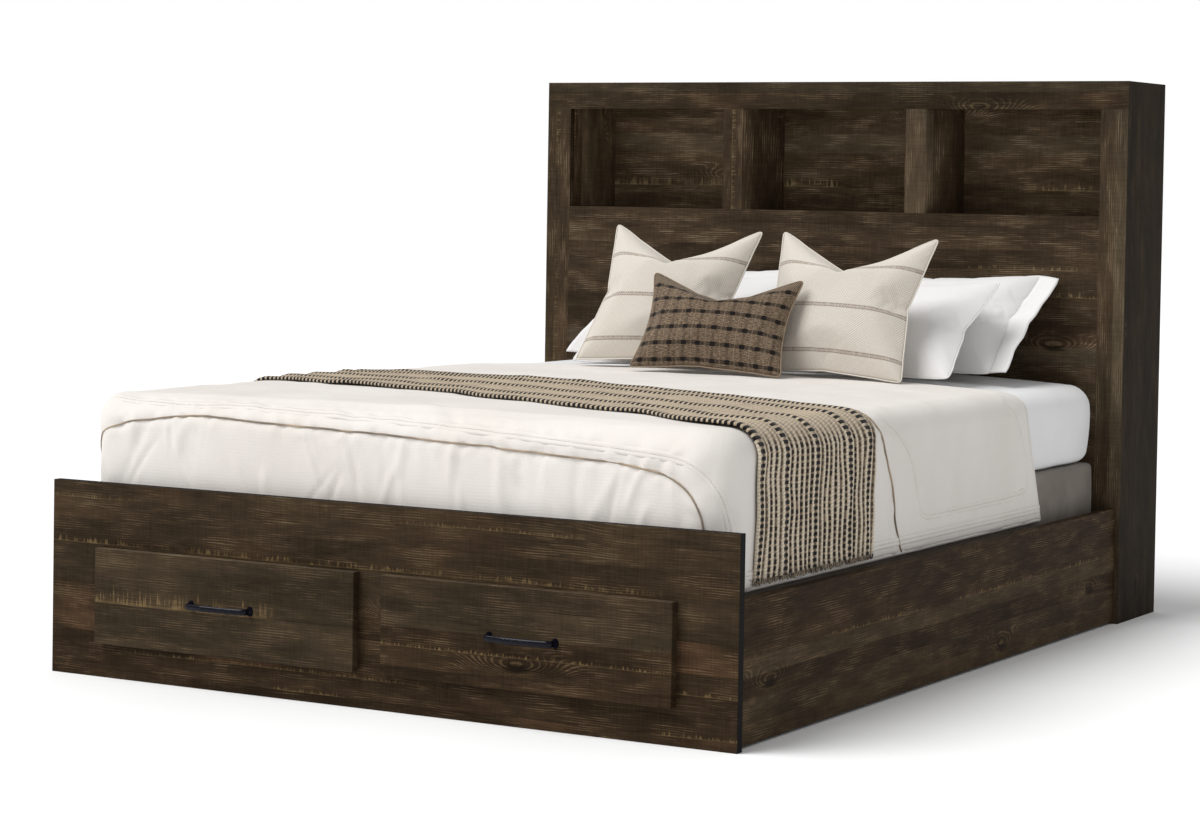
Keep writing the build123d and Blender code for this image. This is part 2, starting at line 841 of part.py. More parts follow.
parts["foundation"] = bed_form(foundation_bottom, foundation_top,
                               (foundation_crown, foundation_crown),
                               foundation_edge_radius, mattress_corner_radius,
                               foundation_edge_radius)
parts["mattress"] = bed_form(mattress_bottom, mattress_shoulder,
                             (mattress_crown_foot, mattress_crown_head), mattress_edge_radius,
                             mattress_corner_radius, mattress_under_radius)
parts["throw"] = throw()


# Pillows: local x is the width, y runs up from the bottom edge and z is the thickness

def pillow_outline(width, height, scale, drawn, bottom, dent, z):
    """Four curved edges between pointed corners."""
    w = width / 2 * scale
    middle = height / 2
    h = middle * scale
    corners = [(-w, middle - h), (w, middle - h), (w, middle + h), (-w, middle + h)]
    mids = [(0, middle - h + bottom), (w - drawn, middle), (0, middle + h - dent),
            (drawn - w, middle)]
    with BuildSketch(Plane.XY.offset(z)) as outline:
        with BuildLine():
            for i, mid in enumerate(mids):
                ThreePointArc(corners[i], mid, corners[(i + 1) % len(corners)])
        make_face()
    return outline.sketch


def pillow(width, height, thick, drawn, dent):
    """Crowned cushion with a knife edge, drawn-in sides and pointed corners."""
    halves = []
    for face in (1, -1):
        rings = []
        for deep, scale, draw in zip(depth_shares, outline_shares, draw_shares):
            rings.append(pillow_outline(width, height, scale, drawn * draw,
                                        pillow_bottom_drawn_in * draw, dent * draw,
                                        face * deep * thick / 2))
        halves.append(loft(rings))
    return halves[0] + halves[1]


def crown_at(x, y):
    """Height of the mattress top at a place on the bed."""
    share = (y - mattress_foot) / mattress_length
    crown = mattress_crown_foot + (mattress_crown_head - mattress_crown_foot) * share
    half = mattress_half - mattress_edge_radius
    return mattress_shoulder + crown * (1 - (x / half) ** 2)


def settled(shape, supports, direction, gap):
    """The shape moved along a direction until it is a gap away from its supports."""
    for _ in range(settle_rounds):
        room = min(shape.distance_to(support) for support in supports)
        step = room - gap
        shape = Pos(*[part * step for part in direction]) * shape
        if step < settle_gap:
            break
    return shape


def overlap(one, other):
    """Volume that two shapes share."""
    common = one.intersect(other)
    if isinstance(common, list):
        return sum(piece.volume for piece in common)
    return common.volume if common else 0.0


def leaned(shape, x, y, lean, roll, yaw, under, behind):
    """A pillow leant back on what is behind it, then let down on what is under it."""
    turned = Rotation(0, 0, yaw) * Rotation(90 - lean, 0, 0) * Rotation(0, 0, roll) * shape
    high = crown_at(x, y) + throw_out + pillow_back_off - turned.bounding_box().min.Z
    shape = settled(Pos(x, y, high) * turned, behind, (0, 1, 0), pillow_rest_gap)
    shape = settled(Pos(0, -2 * pillow_back_off, 0) * shape, under, (0, 0, -1), soft_gap)
    shape = settled(shape, behind, (0, 1, 0), pillow_rest_gap)
    while sum(overlap(shape, support) for support in behind) > 0:
        shape = Pos(0, -pillow_rest_gap, 0) * shape
    return shape


def pair(height, thick, offset, gap, edge_gap, drawn, dent, lean, roll, start, under, behind):
    """Left and right pillows of one row."""
    width = mattress_half - edge_gap - offset - gap / 2
    row = []
    for sign in (-1, 1):
        shape = pillow(width, height, thick, drawn, dent)
        x = offset + sign * (width + gap) / 2
        row.append(leaned(shape, x, start, lean, roll, 0, under, behind))
    return row


headboard_face = [parts["headboard_front_panel"], parts["cubby_divider_left"],
                  parts["cubby_divider_right"], parts["headboard_top_rail"]]
back_start = head_front - back_pillow_height - pillow_start_gap
back_row = pair(back_pillow_height, back_pillow_thick, back_pillow_offset, back_pillow_gap,
                back_pillow_edge_gap, pillow_drawn_in, pillow_drawn_in, pillow_lean, 0,
                back_start, [parts["mattress"]], headboard_face)
front_start = min(shape.bounding_box().min.Y for shape in back_row) - front_pillow_height
front_row = pair(front_pillow_height, front_pillow_thick, front_pillow_offset, front_pillow_gap,
                 front_pillow_edge_gap, pillow_drawn_in, pillow_drawn_in, pillow_lean, 0,
                 front_start, [parts["mattress"]], back_row)
pillow_line = min(shape.bounding_box().min.Y for shape in front_row)
parts["comforter"] = comforter(pillow_line)
linen_row = pair(linen_height, linen_thick, linen_offset, linen_gap, linen_edge_gap,
                 cushion_drawn_in, linen_dent, cushion_lean, cushion_roll,
                 pillow_line - linen_height, [parts["comforter"]], front_row)
linen_line = min(shape.bounding_box().min.Y for shape in linen_row)
for name, row in (("pillow_back", back_row), ("pillow_front", front_row),
                  ("cushion_linen", linen_row)):
    parts[f"{name}_left"], parts[f"{name}_right"] = row
parts["cushion_lumbar"] = leaned(pillow(lumbar_width, lumbar_height, lumbar_thick,
                                        cushion_drawn_in, lumbar_dent),
                                 lumbar_offset, linen_line - lumbar_height, cushion_lean,
                                 cushion_roll, lumbar_yaw, [parts["comforter"]], linen_row)

for name, shape in parts.items():
    export_step(shape, f"parts/{name}.step")

print("nodes", len(parts))
print("foot front", round(foot_front, 2), "head front", round(head_front, 2))
print("travel room", round(rear_roller_y - front_roller_y - 2 * roller_radius, 2))
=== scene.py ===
import bmesh
import bpy
import math
import random
import numpy as np
from mathutils import Matrix, Vector
from mathutils.bvhtree import BVHTree


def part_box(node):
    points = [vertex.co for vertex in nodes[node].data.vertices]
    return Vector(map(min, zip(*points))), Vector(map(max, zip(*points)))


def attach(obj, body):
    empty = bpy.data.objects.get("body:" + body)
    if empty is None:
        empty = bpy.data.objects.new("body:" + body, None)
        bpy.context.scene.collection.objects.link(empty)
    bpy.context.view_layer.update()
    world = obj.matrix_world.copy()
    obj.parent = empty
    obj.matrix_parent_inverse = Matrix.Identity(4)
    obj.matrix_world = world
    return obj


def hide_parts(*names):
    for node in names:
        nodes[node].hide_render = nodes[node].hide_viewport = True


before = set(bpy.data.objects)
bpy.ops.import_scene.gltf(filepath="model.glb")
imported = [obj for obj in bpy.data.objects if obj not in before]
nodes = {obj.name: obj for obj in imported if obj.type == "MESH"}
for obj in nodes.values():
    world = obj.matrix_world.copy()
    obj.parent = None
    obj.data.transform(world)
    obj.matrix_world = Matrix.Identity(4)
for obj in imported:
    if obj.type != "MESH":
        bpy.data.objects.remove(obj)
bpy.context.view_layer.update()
scene = bpy.context.scene
scene.view_settings.view_transform = "Standard"
print("frame loaded,", len(nodes), "nodes")

cameraSet = {"place": (3.3795, -6.2552, 1.0717), "yaw": 30.4423, "down": 1.862, "roll": 0.9,
             "lens": 91.354, "shiftX": 0.05, "shiftY": -0.1167}


def makeCamera(look):
    yaw, down, roll = (math.radians(look[key]) for key in ("yaw", "down", "roll"))
    ahead = Vector((-math.sin(yaw) * math.cos(down), math.cos(yaw) * math.cos(down), -math.sin(down)))
    right = Vector((math.cos(yaw), math.sin(yaw), 0.0))
    up = right.cross(ahead)
    side = math.cos(roll) * right + math.sin(roll) * up
    top = math.cos(roll) * up - math.sin(roll) * right
    data = bpy.data.cameras.new("camera")
    data.lens = look["lens"]
    data.sensor_width = 36.0
    data.shift_x = look["shiftX"]
    data.shift_y = look["shiftY"]
    data.clip_end = 200.0
    made = bpy.data.objects.new("camera", data)
    made.matrix_world = Matrix.Translation(look["place"]) @ Matrix((side, top, -ahead)).transposed().to_4x4()
    scene.collection.objects.link(made)
    scene.camera = made


makeCamera(cameraSet)

roomSet = {"floorSize": 80.0, "floorColor": (0.92, 0.92, 0.92), "ambient": 0.50, "backdrop": 1.0,
           "keyFrom": (-0.40, -0.42, 0.82), "keyPower": 2.75, "keyAngle": 40.0,
           "glints": [("glint_left", (-1.9, -4.6, 1.9), (-0.36, -1.2, 0.18), 0.16, 2.2),
                      ("glint_right", (1.8, -4.4, 1.5), (0.36, -1.2, 0.18), 0.16, 1.8)]}


def aimed(lamp, aim):
    lamp.rotation_euler = (Vector(aim) - lamp.location).to_track_quat("-Z", "Y").to_euler()
    scene.collection.objects.link(lamp)


def makeRoom(look):
    half = look["floorSize"] / 2
    mesh = bpy.data.meshes.new("floor")
    mesh.from_pydata([(-half, -half, 0), (half, -half, 0), (half, half, 0), (-half, half, 0)], [], [(0, 1, 2, 3)])
    floor = bpy.data.objects.new("floor", mesh)
    scene.collection.objects.link(floor)
    world = bpy.data.worlds.new("studio")
    world.use_nodes = True
    tree = world.node_tree
    soft = tree.nodes["Background"]
    soft.inputs["Strength"].default_value = look["ambient"]
    soft.inputs["Color"].default_value = (1.0, 1.0, 1.0, 1.0)
    plain = tree.nodes.new("ShaderNodeBackground")  # what the camera sees behind the bed
    plain.inputs["Color"].default_value = (1.0, 1.0, 1.0, 1.0)
    plain.inputs["Strength"].default_value = look["backdrop"]
    ray = tree.nodes.new("ShaderNodeLightPath")
    mix = tree.nodes.new("ShaderNodeMixShader")
    tree.links.new(ray.outputs["Is Camera Ray"], mix.inputs[0])
    tree.links.new(soft.outputs[0], mix.inputs[1])
    tree.links.new(plain.outputs[0], mix.inputs[2])
    tree.links.new(mix.outputs[0], tree.nodes["World Output"].inputs["Surface"])
    scene.world = world
    key = bpy.data.lights.new("key", "SUN")
    key.energy = look["keyPower"]
    key.angle = math.radians(look["keyAngle"])
    lamp = bpy.data.objects.new("key", key)
    lamp.location = Vector(look["keyFrom"]) * 8
    aimed(lamp, (0.0, 0.0, 0.0))
    for name, place, aim, size, power in look["glints"]:
        data = bpy.data.lights.new(name, "AREA")
        data.shape = "DISK"
        data.size = size
        data.energy = power
        lamp = bpy.data.objects.new(name, data)
        lamp.location = place
        aimed(lamp, aim)
    return floor


floor = makeRoom(roomSet)


def put(tree, value, socket):
    if isinstance(value, bpy.types.NodeSocket):
        tree.links.new(value, socket)
    else:
        socket.default_value = value


def add(tree, kind, values=None, **settings):
    made = tree.nodes.new("ShaderNode" + kind)
    for key, value in settings.items():
        setattr(made, key, value)
    for key, value in (values or {}).items():
        put(tree, value, made.inputs[key])
    return made


def calc(tree, operation, *values, clamp=False):
    made = add(tree, "Math", dict(enumerate(values)), operation=operation)
    made.use_clamp = clamp
    return made.outputs[0]


def combine(tree, x, y, z=0.0):
    return add(tree, "CombineXYZ", {0: x, 1: y, 2: z}).outputs[0]


def noiseAt(tree, vector, scale=1.0, detail=2.0, rough=0.5, distortion=0.0):
    made = add(tree, "TexNoise", {"Vector": vector, "Scale": scale, "Detail": detail, "Roughness": rough,
                                  "Distortion": distortion})
    return made.outputs[0]


def span(tree, value, low, high, toLow=0.0, toHigh=1.0, smooth=True):
    made = add(tree, "MapRange", {0: value, 1: low, 2: high, 3: toLow, 4: toHigh})
    made.interpolation_type = "SMOOTHSTEP" if smooth else "LINEAR"
    return made.outputs[0]


def mixColor(tree, share, first, second, mode="MIX"):
    made = add(tree, "Mix", None, data_type="RGBA", blend_type=mode)
    put(tree, share, made.inputs[0])
    put(tree, first, made.inputs[6])
    put(tree, second, made.inputs[7])
    return made.outputs[2]


def ramp(tree, share, stops):
    made = add(tree, "ValToRGB", {0: share})
    band = made.color_ramp
    while len(band.elements) < len(stops):
        band.elements.new(0.5)
    for element, (place, color) in zip(band.elements, stops):
        element.position = place
        element.color = (*color, 1.0)
    return made.outputs[0]


def bump(tree, height, strength, distance, normal=None):
    values = {"Strength": strength, "Distance": distance, "Height": height}
    if normal is not None:
        values["Normal"] = normal
    return add(tree, "Bump", values).outputs[0]


def newFinish(name):
    finish = bpy.data.materials.new(name)
    finish.use_nodes = True
    tree = finish.node_tree
    return finish, tree, tree.nodes["Principled BSDF"]


def tint(color):
    return (*color, 1.0)


woodSet = {"bands": 17.0, "uneven": 0.55, "warp": 0.014,
           "ramp": [(0.0, (0.0085, 0.0050, 0.0025)), (0.30, (0.021, 0.0126, 0.0064)), (0.50, (0.040, 0.0247, 0.0128)),
                    (0.72, (0.073, 0.0475, 0.0258)), (1.0, (0.150, 0.1040, 0.0610))],
           "red": (0.105, 0.058, 0.0310), "olive": (0.046, 0.0340, 0.0198), "ochre": (0.190, 0.128, 0.058),
           "redShare": 0.55, "oliveShare": 0.45, "tickShare": 0.62, "tickPlaces": 0.50, "tickBands": 0.45,
           "paintedLightAndTone": (1.0, 1.0, 1.0), "faces": [], "edge": None}


def woodFinish(name, grain, across, seed, changes=None):
    look = dict(woodSet, **(changes or {}))
    finish, tree, shader = newFinish(name)
    spot = add(tree, "TexCoord").outputs["Object"]
    axes = add(tree, "SeparateXYZ", {0: spot}).outputs
    third = ({"X", "Y", "Z"} - {grain, across}).pop()

    def times(value, factor):
        return calc(tree, "MULTIPLY", value, factor)

    def about(value, share, base):
        return calc(tree, "MULTIPLY_ADD", calc(tree, "SUBTRACT", value, 0.5), share, base)

    a = calc(tree, "ADD", axes[grain], seed * 3.17)
    c = calc(tree, "MULTIPLY_ADD", axes[third], 0.37, calc(tree, "ADD", axes[across], seed * 1.73))
    drift = noiseAt(tree, combine(tree, times(a, 1.1), times(c, 5.0), seed), 1.0, 2.0)
    c = about(drift, look["warp"], c)
    # bands of the printed grain, each with its own tone and its own row of saw ticks
    uneven = add(tree, "TexNoise", {"W": times(c, 4.3), "Scale": 1.0, "Detail": 0.0}, noise_dimensions="1D").outputs[0]
    band = calc(tree, "MULTIPLY_ADD", uneven, look["uneven"] * 4, times(c, look["bands"]))
    number = calc(tree, "FLOOR", band)
    inBand = calc(tree, "FRACT", band)
    luck = add(tree, "SeparateColor", {0: add(tree, "TexWhiteNoise", {"W": calc(tree, "ADD", number, seed * 7.31)},
                                              noise_dimensions="1D").outputs["Color"]}).outputs
    patch = noiseAt(tree, combine(tree, calc(tree, "MULTIPLY_ADD", luck[0], 13.0, times(a, 2.4)), times(c, 10.0), seed),
                    1.0, 4.0, 0.58)
    cloud = noiseAt(tree, combine(tree, times(a, 8.0), times(c, 28.0), seed + 2.0), 1.0, 3.0, 0.6)
    streak = noiseAt(tree, combine(tree, times(a, 12.0), times(c, 230.0), seed + 4.0), 1.0, 4.0, 0.66)
    saw = noiseAt(tree, combine(tree, times(a, 230.0), times(c, 15.0), seed + 3.0), 1.0, 2.0)
    vein = noiseAt(tree, combine(tree, times(a, 15.0), times(c, 300.0), seed + 6.0), 1.0, 2.0, 0.5, 0.4)
    fibre = noiseAt(tree, combine(tree, times(a, 24.0), times(c, 640.0), seed), 1.0, 2.0)
    cell = add(tree, "TexVoronoi", {"Vector": combine(tree, times(a, 1.7), times(c, 6.0)), "Scale": 1.0,
                                    "Randomness": 0.62}, voronoi_dimensions="2D", feature="F1")
    knot = cell.outputs[0]
    kept = span(tree, add(tree, "SeparateColor", {0: cell.outputs["Color"]}).outputs[0], 0.60, 0.64)
    pull = times(span(tree, knot, 0.0, 0.30, 1.0, 0.0), kept)
    lines = combine(tree, times(a, 2.0), calc(tree, "MULTIPLY_ADD", pull, 0.62, times(c, 12.0)))
    arcs = add(tree, "TexWave", {"Vector": lines, "Scale": 5.2, "Distortion": 7.0, "Detail": 3.0, "Detail Scale": 0.6,
                                 "Detail Roughness": 0.6}, wave_type="BANDS", bands_direction="Y").outputs[1]
    tone = about(patch, 0.80, 0.415)
    tone = about(cloud, 0.42, tone)
    tone = about(streak, 0.36, tone)
    tone = about(saw, 0.24, tone)
    tone = about(fibre, 0.26, tone)
    tone = calc(tree, "ADD", tone, calc(tree, "MULTIPLY", span(tree, vein, 0.55, 0.72, 0.0, 0.20), span(tree, cloud, 0.35, 0.6)))
    tone = about(luck[1], 0.17, tone)
    figure = calc(tree, "MAXIMUM", span(tree, cloud, 0.48, 0.62, 0.04, 0.35),
                  times(span(tree, knot, 0.08, 0.28, 0.26, 0.0), kept))
    veins = calc(tree, "MULTIPLY", span(tree, arcs, 0.52, 0.98, -0.16, 1.0), span(tree, streak, 0.25, 0.6, 0.45, 1.0))
    tone = calc(tree, "ADD", tone, calc(tree, "MULTIPLY", veins, figure))
    tone = calc(tree, "SUBTRACT", tone, times(span(tree, knot, 0.015, 0.070, 0.34, 0.0), kept))
    joint = span(tree, inBand, 0.0, 0.05, 1.0, 0.0)
    tone = calc(tree, "SUBTRACT", tone, times(joint, 0.10))
    color = ramp(tree, tone, look["ramp"])
    shade = ramp(tree, tone, [(0.15, (0.35, 0.35, 0.35)), (0.85, (1.55, 1.55, 1.55))])
    blush = noiseAt(tree, combine(tree, times(a, 1.9), calc(tree, "MULTIPLY_ADD", number, 3.7, times(c, 3.0)), seed + 5.0),
                    1.0, 2.0)
    redMask = calc(tree, "MULTIPLY", span(tree, blush, 0.52, 0.64), span(tree, luck[2], 0.35, 0.45))
    color = mixColor(tree, times(redMask, look["redShare"]), color, mixColor(tree, 1.0, shade, tint(look["red"]), "MULTIPLY"))
    oliveMask = span(tree, luck[1], 0.40, 0.80)
    color = mixColor(tree, times(oliveMask, look["oliveShare"]), color,
                     mixColor(tree, 1.0, shade, tint(look["olive"]), "MULTIPLY"))
    # saw ticks stand on the band's lower line like a low fence
    place = noiseAt(tree, combine(tree, times(a, 1.9), times(number, 5.1), seed + 9.0), 1.0, 1.0)
    teeth = noiseAt(tree, combine(tree, times(a, 190.0), times(number, 3.3), seed), 1.0, 3.0)
    worn = noiseAt(tree, combine(tree, times(a, 30.0), times(c, 90.0), seed), 1.0, 3.0)
    here = calc(tree, "MULTIPLY", span(tree, place, look["tickPlaces"], look["tickPlaces"] + 0.09),
                span(tree, luck[2], look["tickBands"], look["tickBands"] + 0.04))
    reach = span(tree, teeth, 0.40, 0.70, 0.0, 0.27)
    tick = calc(tree, "MULTIPLY", span(tree, calc(tree, "SUBTRACT", reach, inBand), 0.0, 0.09), here)
    tick = calc(tree, "MULTIPLY", tick, span(tree, worn, 0.34, 0.62, 0.15, 1.0))
    tick = calc(tree, "MAXIMUM", tick, calc(tree, "MULTIPLY", times(joint, 0.55), here))
    halo = calc(tree, "MULTIPLY", calc(tree, "MULTIPLY", span(tree, knot, 0.02, 0.15, 0.42, 0.0), kept), span(tree, tone, 0.3, 0.6))
    tick = calc(tree, "MAXIMUM", tick, halo)
    color = mixColor(tree, times(tick, look["tickShare"]), color, tint(look["ochre"]))
    # paintedLightAndTone lifts or lowers a whole part's colour: painted light or painted shade standing in for the
    # light the part gets, mixed on some parts with a greyer wood tone
    if look["paintedLightAndTone"] != (1.0, 1.0, 1.0):
        color = mixColor(tree, 1.0, color, tint(look["paintedLightAndTone"]), "MULTIPLY")
    normal = add(tree, "SeparateXYZ", {0: add(tree, "TexCoord").outputs["Normal"]}).outputs
    for axis, mirrored, shade in look["faces"]:  # painted light: faces turned this way are made lighter or darker to stand in for how the light falls on them
        turned = calc(tree, "ABSOLUTE", normal[axis]) if mirrored else normal[axis]
        color = mixColor(tree, span(tree, turned, 0.4, 0.7), color, mixColor(tree, 1.0, color, tint(shade), "MULTIPLY"))
    if look["edge"]:
        rim = span(tree, calc(tree, "ABSOLUTE", normal[look["edge"]]), 0.4, 0.6, 1.0, 0.0)
        color = mixColor(tree, rim, color, (0.0085, 0.0078, 0.0080, 1.0))
    put(tree, color, shader.inputs["Base Color"])
    put(tree, span(tree, streak, 0.2, 0.8, 0.72, 0.56, False), shader.inputs["Roughness"])
    shader.inputs["Specular IOR Level"].default_value = 0.05
    height = calc(tree, "MULTIPLY_ADD", streak, 0.7, times(fibre, 0.45))
    height = calc(tree, "MULTIPLY_ADD", arcs, 0.2, height)
    height = calc(tree, "SUBTRACT", height, times(tick, 0.25))
    put(tree, bump(tree, height, 0.6, 0.0011), shader.inputs["Normal"])
    return finish


grainPlan = {
    "footboard_panel": ("X", "Z", 1, {"edge": "Y"}),
    # painted highlight: the drawer fronts' top faces are lightened to stand in for light from above
    "drawer_left_front": ("X", "Z", 2, {"tickShare": 0.72, "tickPlaces": 0.40, "redShare": 0.15, "oliveShare": 0.60,
                                        "tickBands": 0.3, "faces": [("Z", False, (1.9, 2.0, 2.2))]}),
    "drawer_right_front": ("X", "Z", 5, {"tickShare": 0.66, "tickPlaces": 0.43, "redShare": 0.15, "oliveShare": 0.60,
                                         "tickBands": 0.3, "faces": [("Z", False, (1.9, 2.0, 2.2))]}),
    # painted light: the right rail, on the side the key light misses, is lightened
    "side_rail_right": ("Y", "Z", 3, {"paintedLightAndTone": (1.30, 1.28, 1.20), "redShare": 0.25}),
    "side_rail_left": ("Y", "Z", 4, {}),
    # the headboard front panel, top rail and stiles are lightened and made greyer than the footboard
    "headboard_front_panel": ("X", "Z", 6, {"paintedLightAndTone": (1.50, 1.63, 1.84), "tickShare": 0.45, "redShare": 0.25}),
    "headboard_top_rail": ("X", "Z", 7, {"paintedLightAndTone": (1.06, 1.14, 1.22), "tickShare": 0.35, "redShare": 0.25}),
    # painted light: the back panel is lifted strongly to stand in for light inside the shaded cubbies, and its rear
    # face is darkened again to take that painted light off
    "headboard_back_panel": ("X", "Z", 8, {"paintedLightAndTone": (4.1, 4.5, 5.0), "redShare": 0.2, "tickShare": 0.55,
                                       "faces": [("Y", False, (0.25, 0.23, 0.21))]}),
    "headboard_top_board": ("X", "Y", 9, {}),
    "headboard_shelf": ("X", "Y", 10, {}),
    "headboard_stretcher": ("X", "Z", 11, {}),
    "headboard_stile_left": ("Z", "X", 12, {"paintedLightAndTone": (1.50, 1.65, 1.82), "tickShare": 0.3, "redShare": 0.3}),
    "headboard_stile_right": ("Z", "X", 13, {"paintedLightAndTone": (1.50, 1.65, 1.82), "tickShare": 0.3, "redShare": 0.3}),
    # painted light: the dividers are lifted, and their side faces inside the cubbies twice more, against the shade in
    # the cubbies
    "cubby_divider_left": ("Z", "X", 14, {"paintedLightAndTone": (1.62, 1.78, 2.00), "tickShare": 0.3, "redShare": 0.2,
                                           "faces": [("X", True, (2.0, 2.0, 2.0))]}),
    "cubby_divider_right": ("Z", "X", 15, {"paintedLightAndTone": (1.62, 1.78, 2.00), "tickShare": 0.3, "redShare": 0.2,
                                           "faces": [("X", True, (2.0, 2.0, 2.0))]}),
    # painted light: the end walls are lifted against the shade inside the cubbies
    "cubby_end_wall_left": ("Z", "Y", 16, {"paintedLightAndTone": (3.3, 3.4, 3.6)}),
    "cubby_end_wall_right": ("Z", "Y", 17, {"paintedLightAndTone": (3.3, 3.4, 3.6)}),
    "headboard_side_left": ("Z", "Y", 18, {}),
    # painted shade: the headboard's right side is darkened to stand in for the shade on that side
    "headboard_side_right": ("Z", "Y", 19, {"paintedLightAndTone": (0.44, 0.405, 0.345), "tickShare": 0.3, "redShare": 0.2}),
}
for name, (grain, across, seed, changes) in grainPlan.items():
    dress = woodFinish("wood_" + name, grain, across, seed, changes)
    nodes[name].data.materials.clear()
    nodes[name].data.materials.append(dress)
print("wood finishes:", len(grainPlan))


def plainFinish(name, color, other, scale, roughness, metallic=0.0, stretch=(1.0, 1.0, 1.0), shine=0.5, depth=0.0002):
    finish, tree, shader = newFinish(name)
    spot = add(tree, "TexCoord").outputs["Object"]
    turned = add(tree, "Mapping", {"Vector": spot, "Scale": stretch}).outputs[0]
    cloud = noiseAt(tree, turned, scale, 4.0, 0.6)
    put(tree, mixColor(tree, span(tree, cloud, 0.3, 0.7), tint(color), tint(other)), shader.inputs["Base Color"])
    put(tree, span(tree, cloud, 0.2, 0.8, roughness * 0.85, min(1.0, roughness * 1.15), False), shader.inputs["Roughness"])
    shader.inputs["Metallic"].default_value = metallic
    shader.inputs["Specular IOR Level"].default_value = shine
    put(tree, bump(tree, noiseAt(tree, turned, scale * 4, 3.0), 0.4, depth), shader.inputs["Normal"])
    return finish


innerFinish = {
    "board": plainFinish("plain_board_look", (0.17, 0.125, 0.085), (0.23, 0.175, 0.125), 9.0, 0.6, stretch=(1, 1, 8)),
    "slat": plainFinish("slat_pine", (0.66, 0.48, 0.29), (0.76, 0.60, 0.40), 7.0, 0.62, stretch=(0.6, 6, 6)),
    "steel": plainFinish("zinc_steel", (0.50, 0.50, 0.50), (0.62, 0.62, 0.62), 60.0, 0.34, metallic=1.0),
    "slide": plainFinish("slide_paint", (0.80, 0.80, 0.78), (0.86, 0.86, 0.84), 40.0, 0.38),
    "nylon": plainFinish("nylon_white", (0.80, 0.80, 0.78), (0.86, 0.86, 0.84), 80.0, 0.45),
    "black": plainFinish("black_pull", (0.0018, 0.0019, 0.0056), (0.0028, 0.0030, 0.0085), 90.0, 0.22, shine=0.16,
                         depth=0.00002),
}
softNodes = ["comforter", "throw", "mattress", "foundation", "cushion_linen_left", "cushion_linen_right",
             "cushion_lumbar", "pillow_back_left", "pillow_back_right", "pillow_front_left", "pillow_front_right"]


def innerKind(name):
    if "handle_screws" in name or name in ("rail_bolts", "rail_brackets", "beam_hangers"):
        return "steel"
    if name.endswith("_handle"):
        return "black"
    if "slides" in name or name == "cabinet_channels":
        return "slide"
    if "roller" in name or "glides" in name:
        return "nylon"
    if name in ("slats", "slat_ledge_left", "slat_ledge_right", "centre_beam", "centre_legs"):
        return "slat"
    return "board"


for name, thing in nodes.items():
    if name in grainPlan or name in softNodes:
        continue
    thing.data.materials.clear()
    thing.data.materials.append(innerFinish[innerKind(name)])
print("inner finishes done")

# floor finish: matt, very slightly clouded
floorFinish = plainFinish("floor_matt", roomSet["floorColor"], (0.94, 0.94, 0.94), 0.8, 0.85)
floor.data.materials.append(floorFinish)


def makePiece(name, verts, faces, uvs=None, finish=None, smooth=True):
    mesh = bpy.data.meshes.new(name)
    mesh.from_pydata([tuple(v) for v in verts], [], [tuple(f) for f in faces])
    if uvs is not None:
        layer = mesh.uv_layers.new(name="cut")
        loops = np.zeros(len(mesh.loops), dtype=np.int32)
        mesh.loops.foreach_get("vertex_index", loops)
        layer.data.foreach_set("uv", np.asarray(uvs, dtype=np.float32)[loops].ravel())
    if smooth:
        mesh.shade_smooth()
    if finish is not None:
        mesh.materials.append(finish)
    mesh.update()
    made = bpy.data.objects.new(name, mesh)
    scene.collection.objects.link(made)
    return made


def sweep(points, normals, section):
    points, normals = np.asarray(points, dtype=float), np.asarray(normals, dtype=float)
    ahead = np.gradient(points, axis=0)
    ahead /= np.maximum(np.linalg.norm(ahead, axis=1, keepdims=True), 1e-12)
    across = np.cross(ahead, normals)
    across /= np.maximum(np.linalg.norm(across, axis=1, keepdims=True), 1e-12)
    up = np.cross(across, ahead)
    sides, count = len(section), len(points)
    cut = np.asarray(section, dtype=float)
    ring = points[:, None, :] + cut[None, :, :1] * across[:, None, :] + cut[None, :, 1:] * up[:, None, :]
    faces = []
    for k in range(count - 1):
        for s in range(sides):
            t = (s + 1) % sides
            faces.append((k * sides + s, (k + 1) * sides + s, (k + 1) * sides + t, k * sides + t))
    faces.append(tuple(range(sides))[::-1])
    faces.append(tuple(range((count - 1) * sides, count * sides)))
    return ring.reshape(-1, 3), faces


def stack(shapes):
    verts, faces, start = [], [], 0
    for points, sides in shapes:
        faces += [tuple(start + k for k in face) for face in sides]
        verts.append(points)
        start += len(points)
    return np.concatenate(verts), faces


def evenOut(values, rounds):
    values = np.array(values, dtype=float)
    for _ in range(rounds):
        values[1:-1] = (values[:-2] + 2 * values[1:-1] + values[2:]) / 4
    return values


def merge(piece, others):
    work = bmesh.new()
    work.from_mesh(piece.data)
    for other in others:
        work.from_mesh(other.data)
        bpy.data.objects.remove(other)
    work.to_mesh(piece.data)
    work.free()


def nodeGroup(name, labels):
    group = bpy.data.node_groups.new(name, "GeometryNodeTree")
    group.interface.new_socket(name="Geometry", in_out="INPUT", socket_type="NodeSocketGeometry")
    group.interface.new_socket(name="Geometry", in_out="OUTPUT", socket_type="NodeSocketGeometry")
    for label in labels:
        group.interface.new_socket(name=label, in_out="INPUT", socket_type="NodeSocketFloat")
    return group, group.nodes.new("NodeGroupInput"), group.nodes.new("NodeGroupOutput")


def bake(holder, group, values):
    modifier = holder.modifiers.new("nodes", "NODES")
    modifier.node_group = group
    for item in group.interface.items_tree:
        if item.in_out == "INPUT" and item.name in values:
            modifier[item.identifier] = values[item.name]
    graph = bpy.context.evaluated_depsgraph_get()
    mesh = bpy.data.meshes.new_from_object(holder.evaluated_get(graph))
    holder.modifiers.clear()
    holder.data = mesh
    weld(holder, 1e-7)
    mesh.shade_smooth()


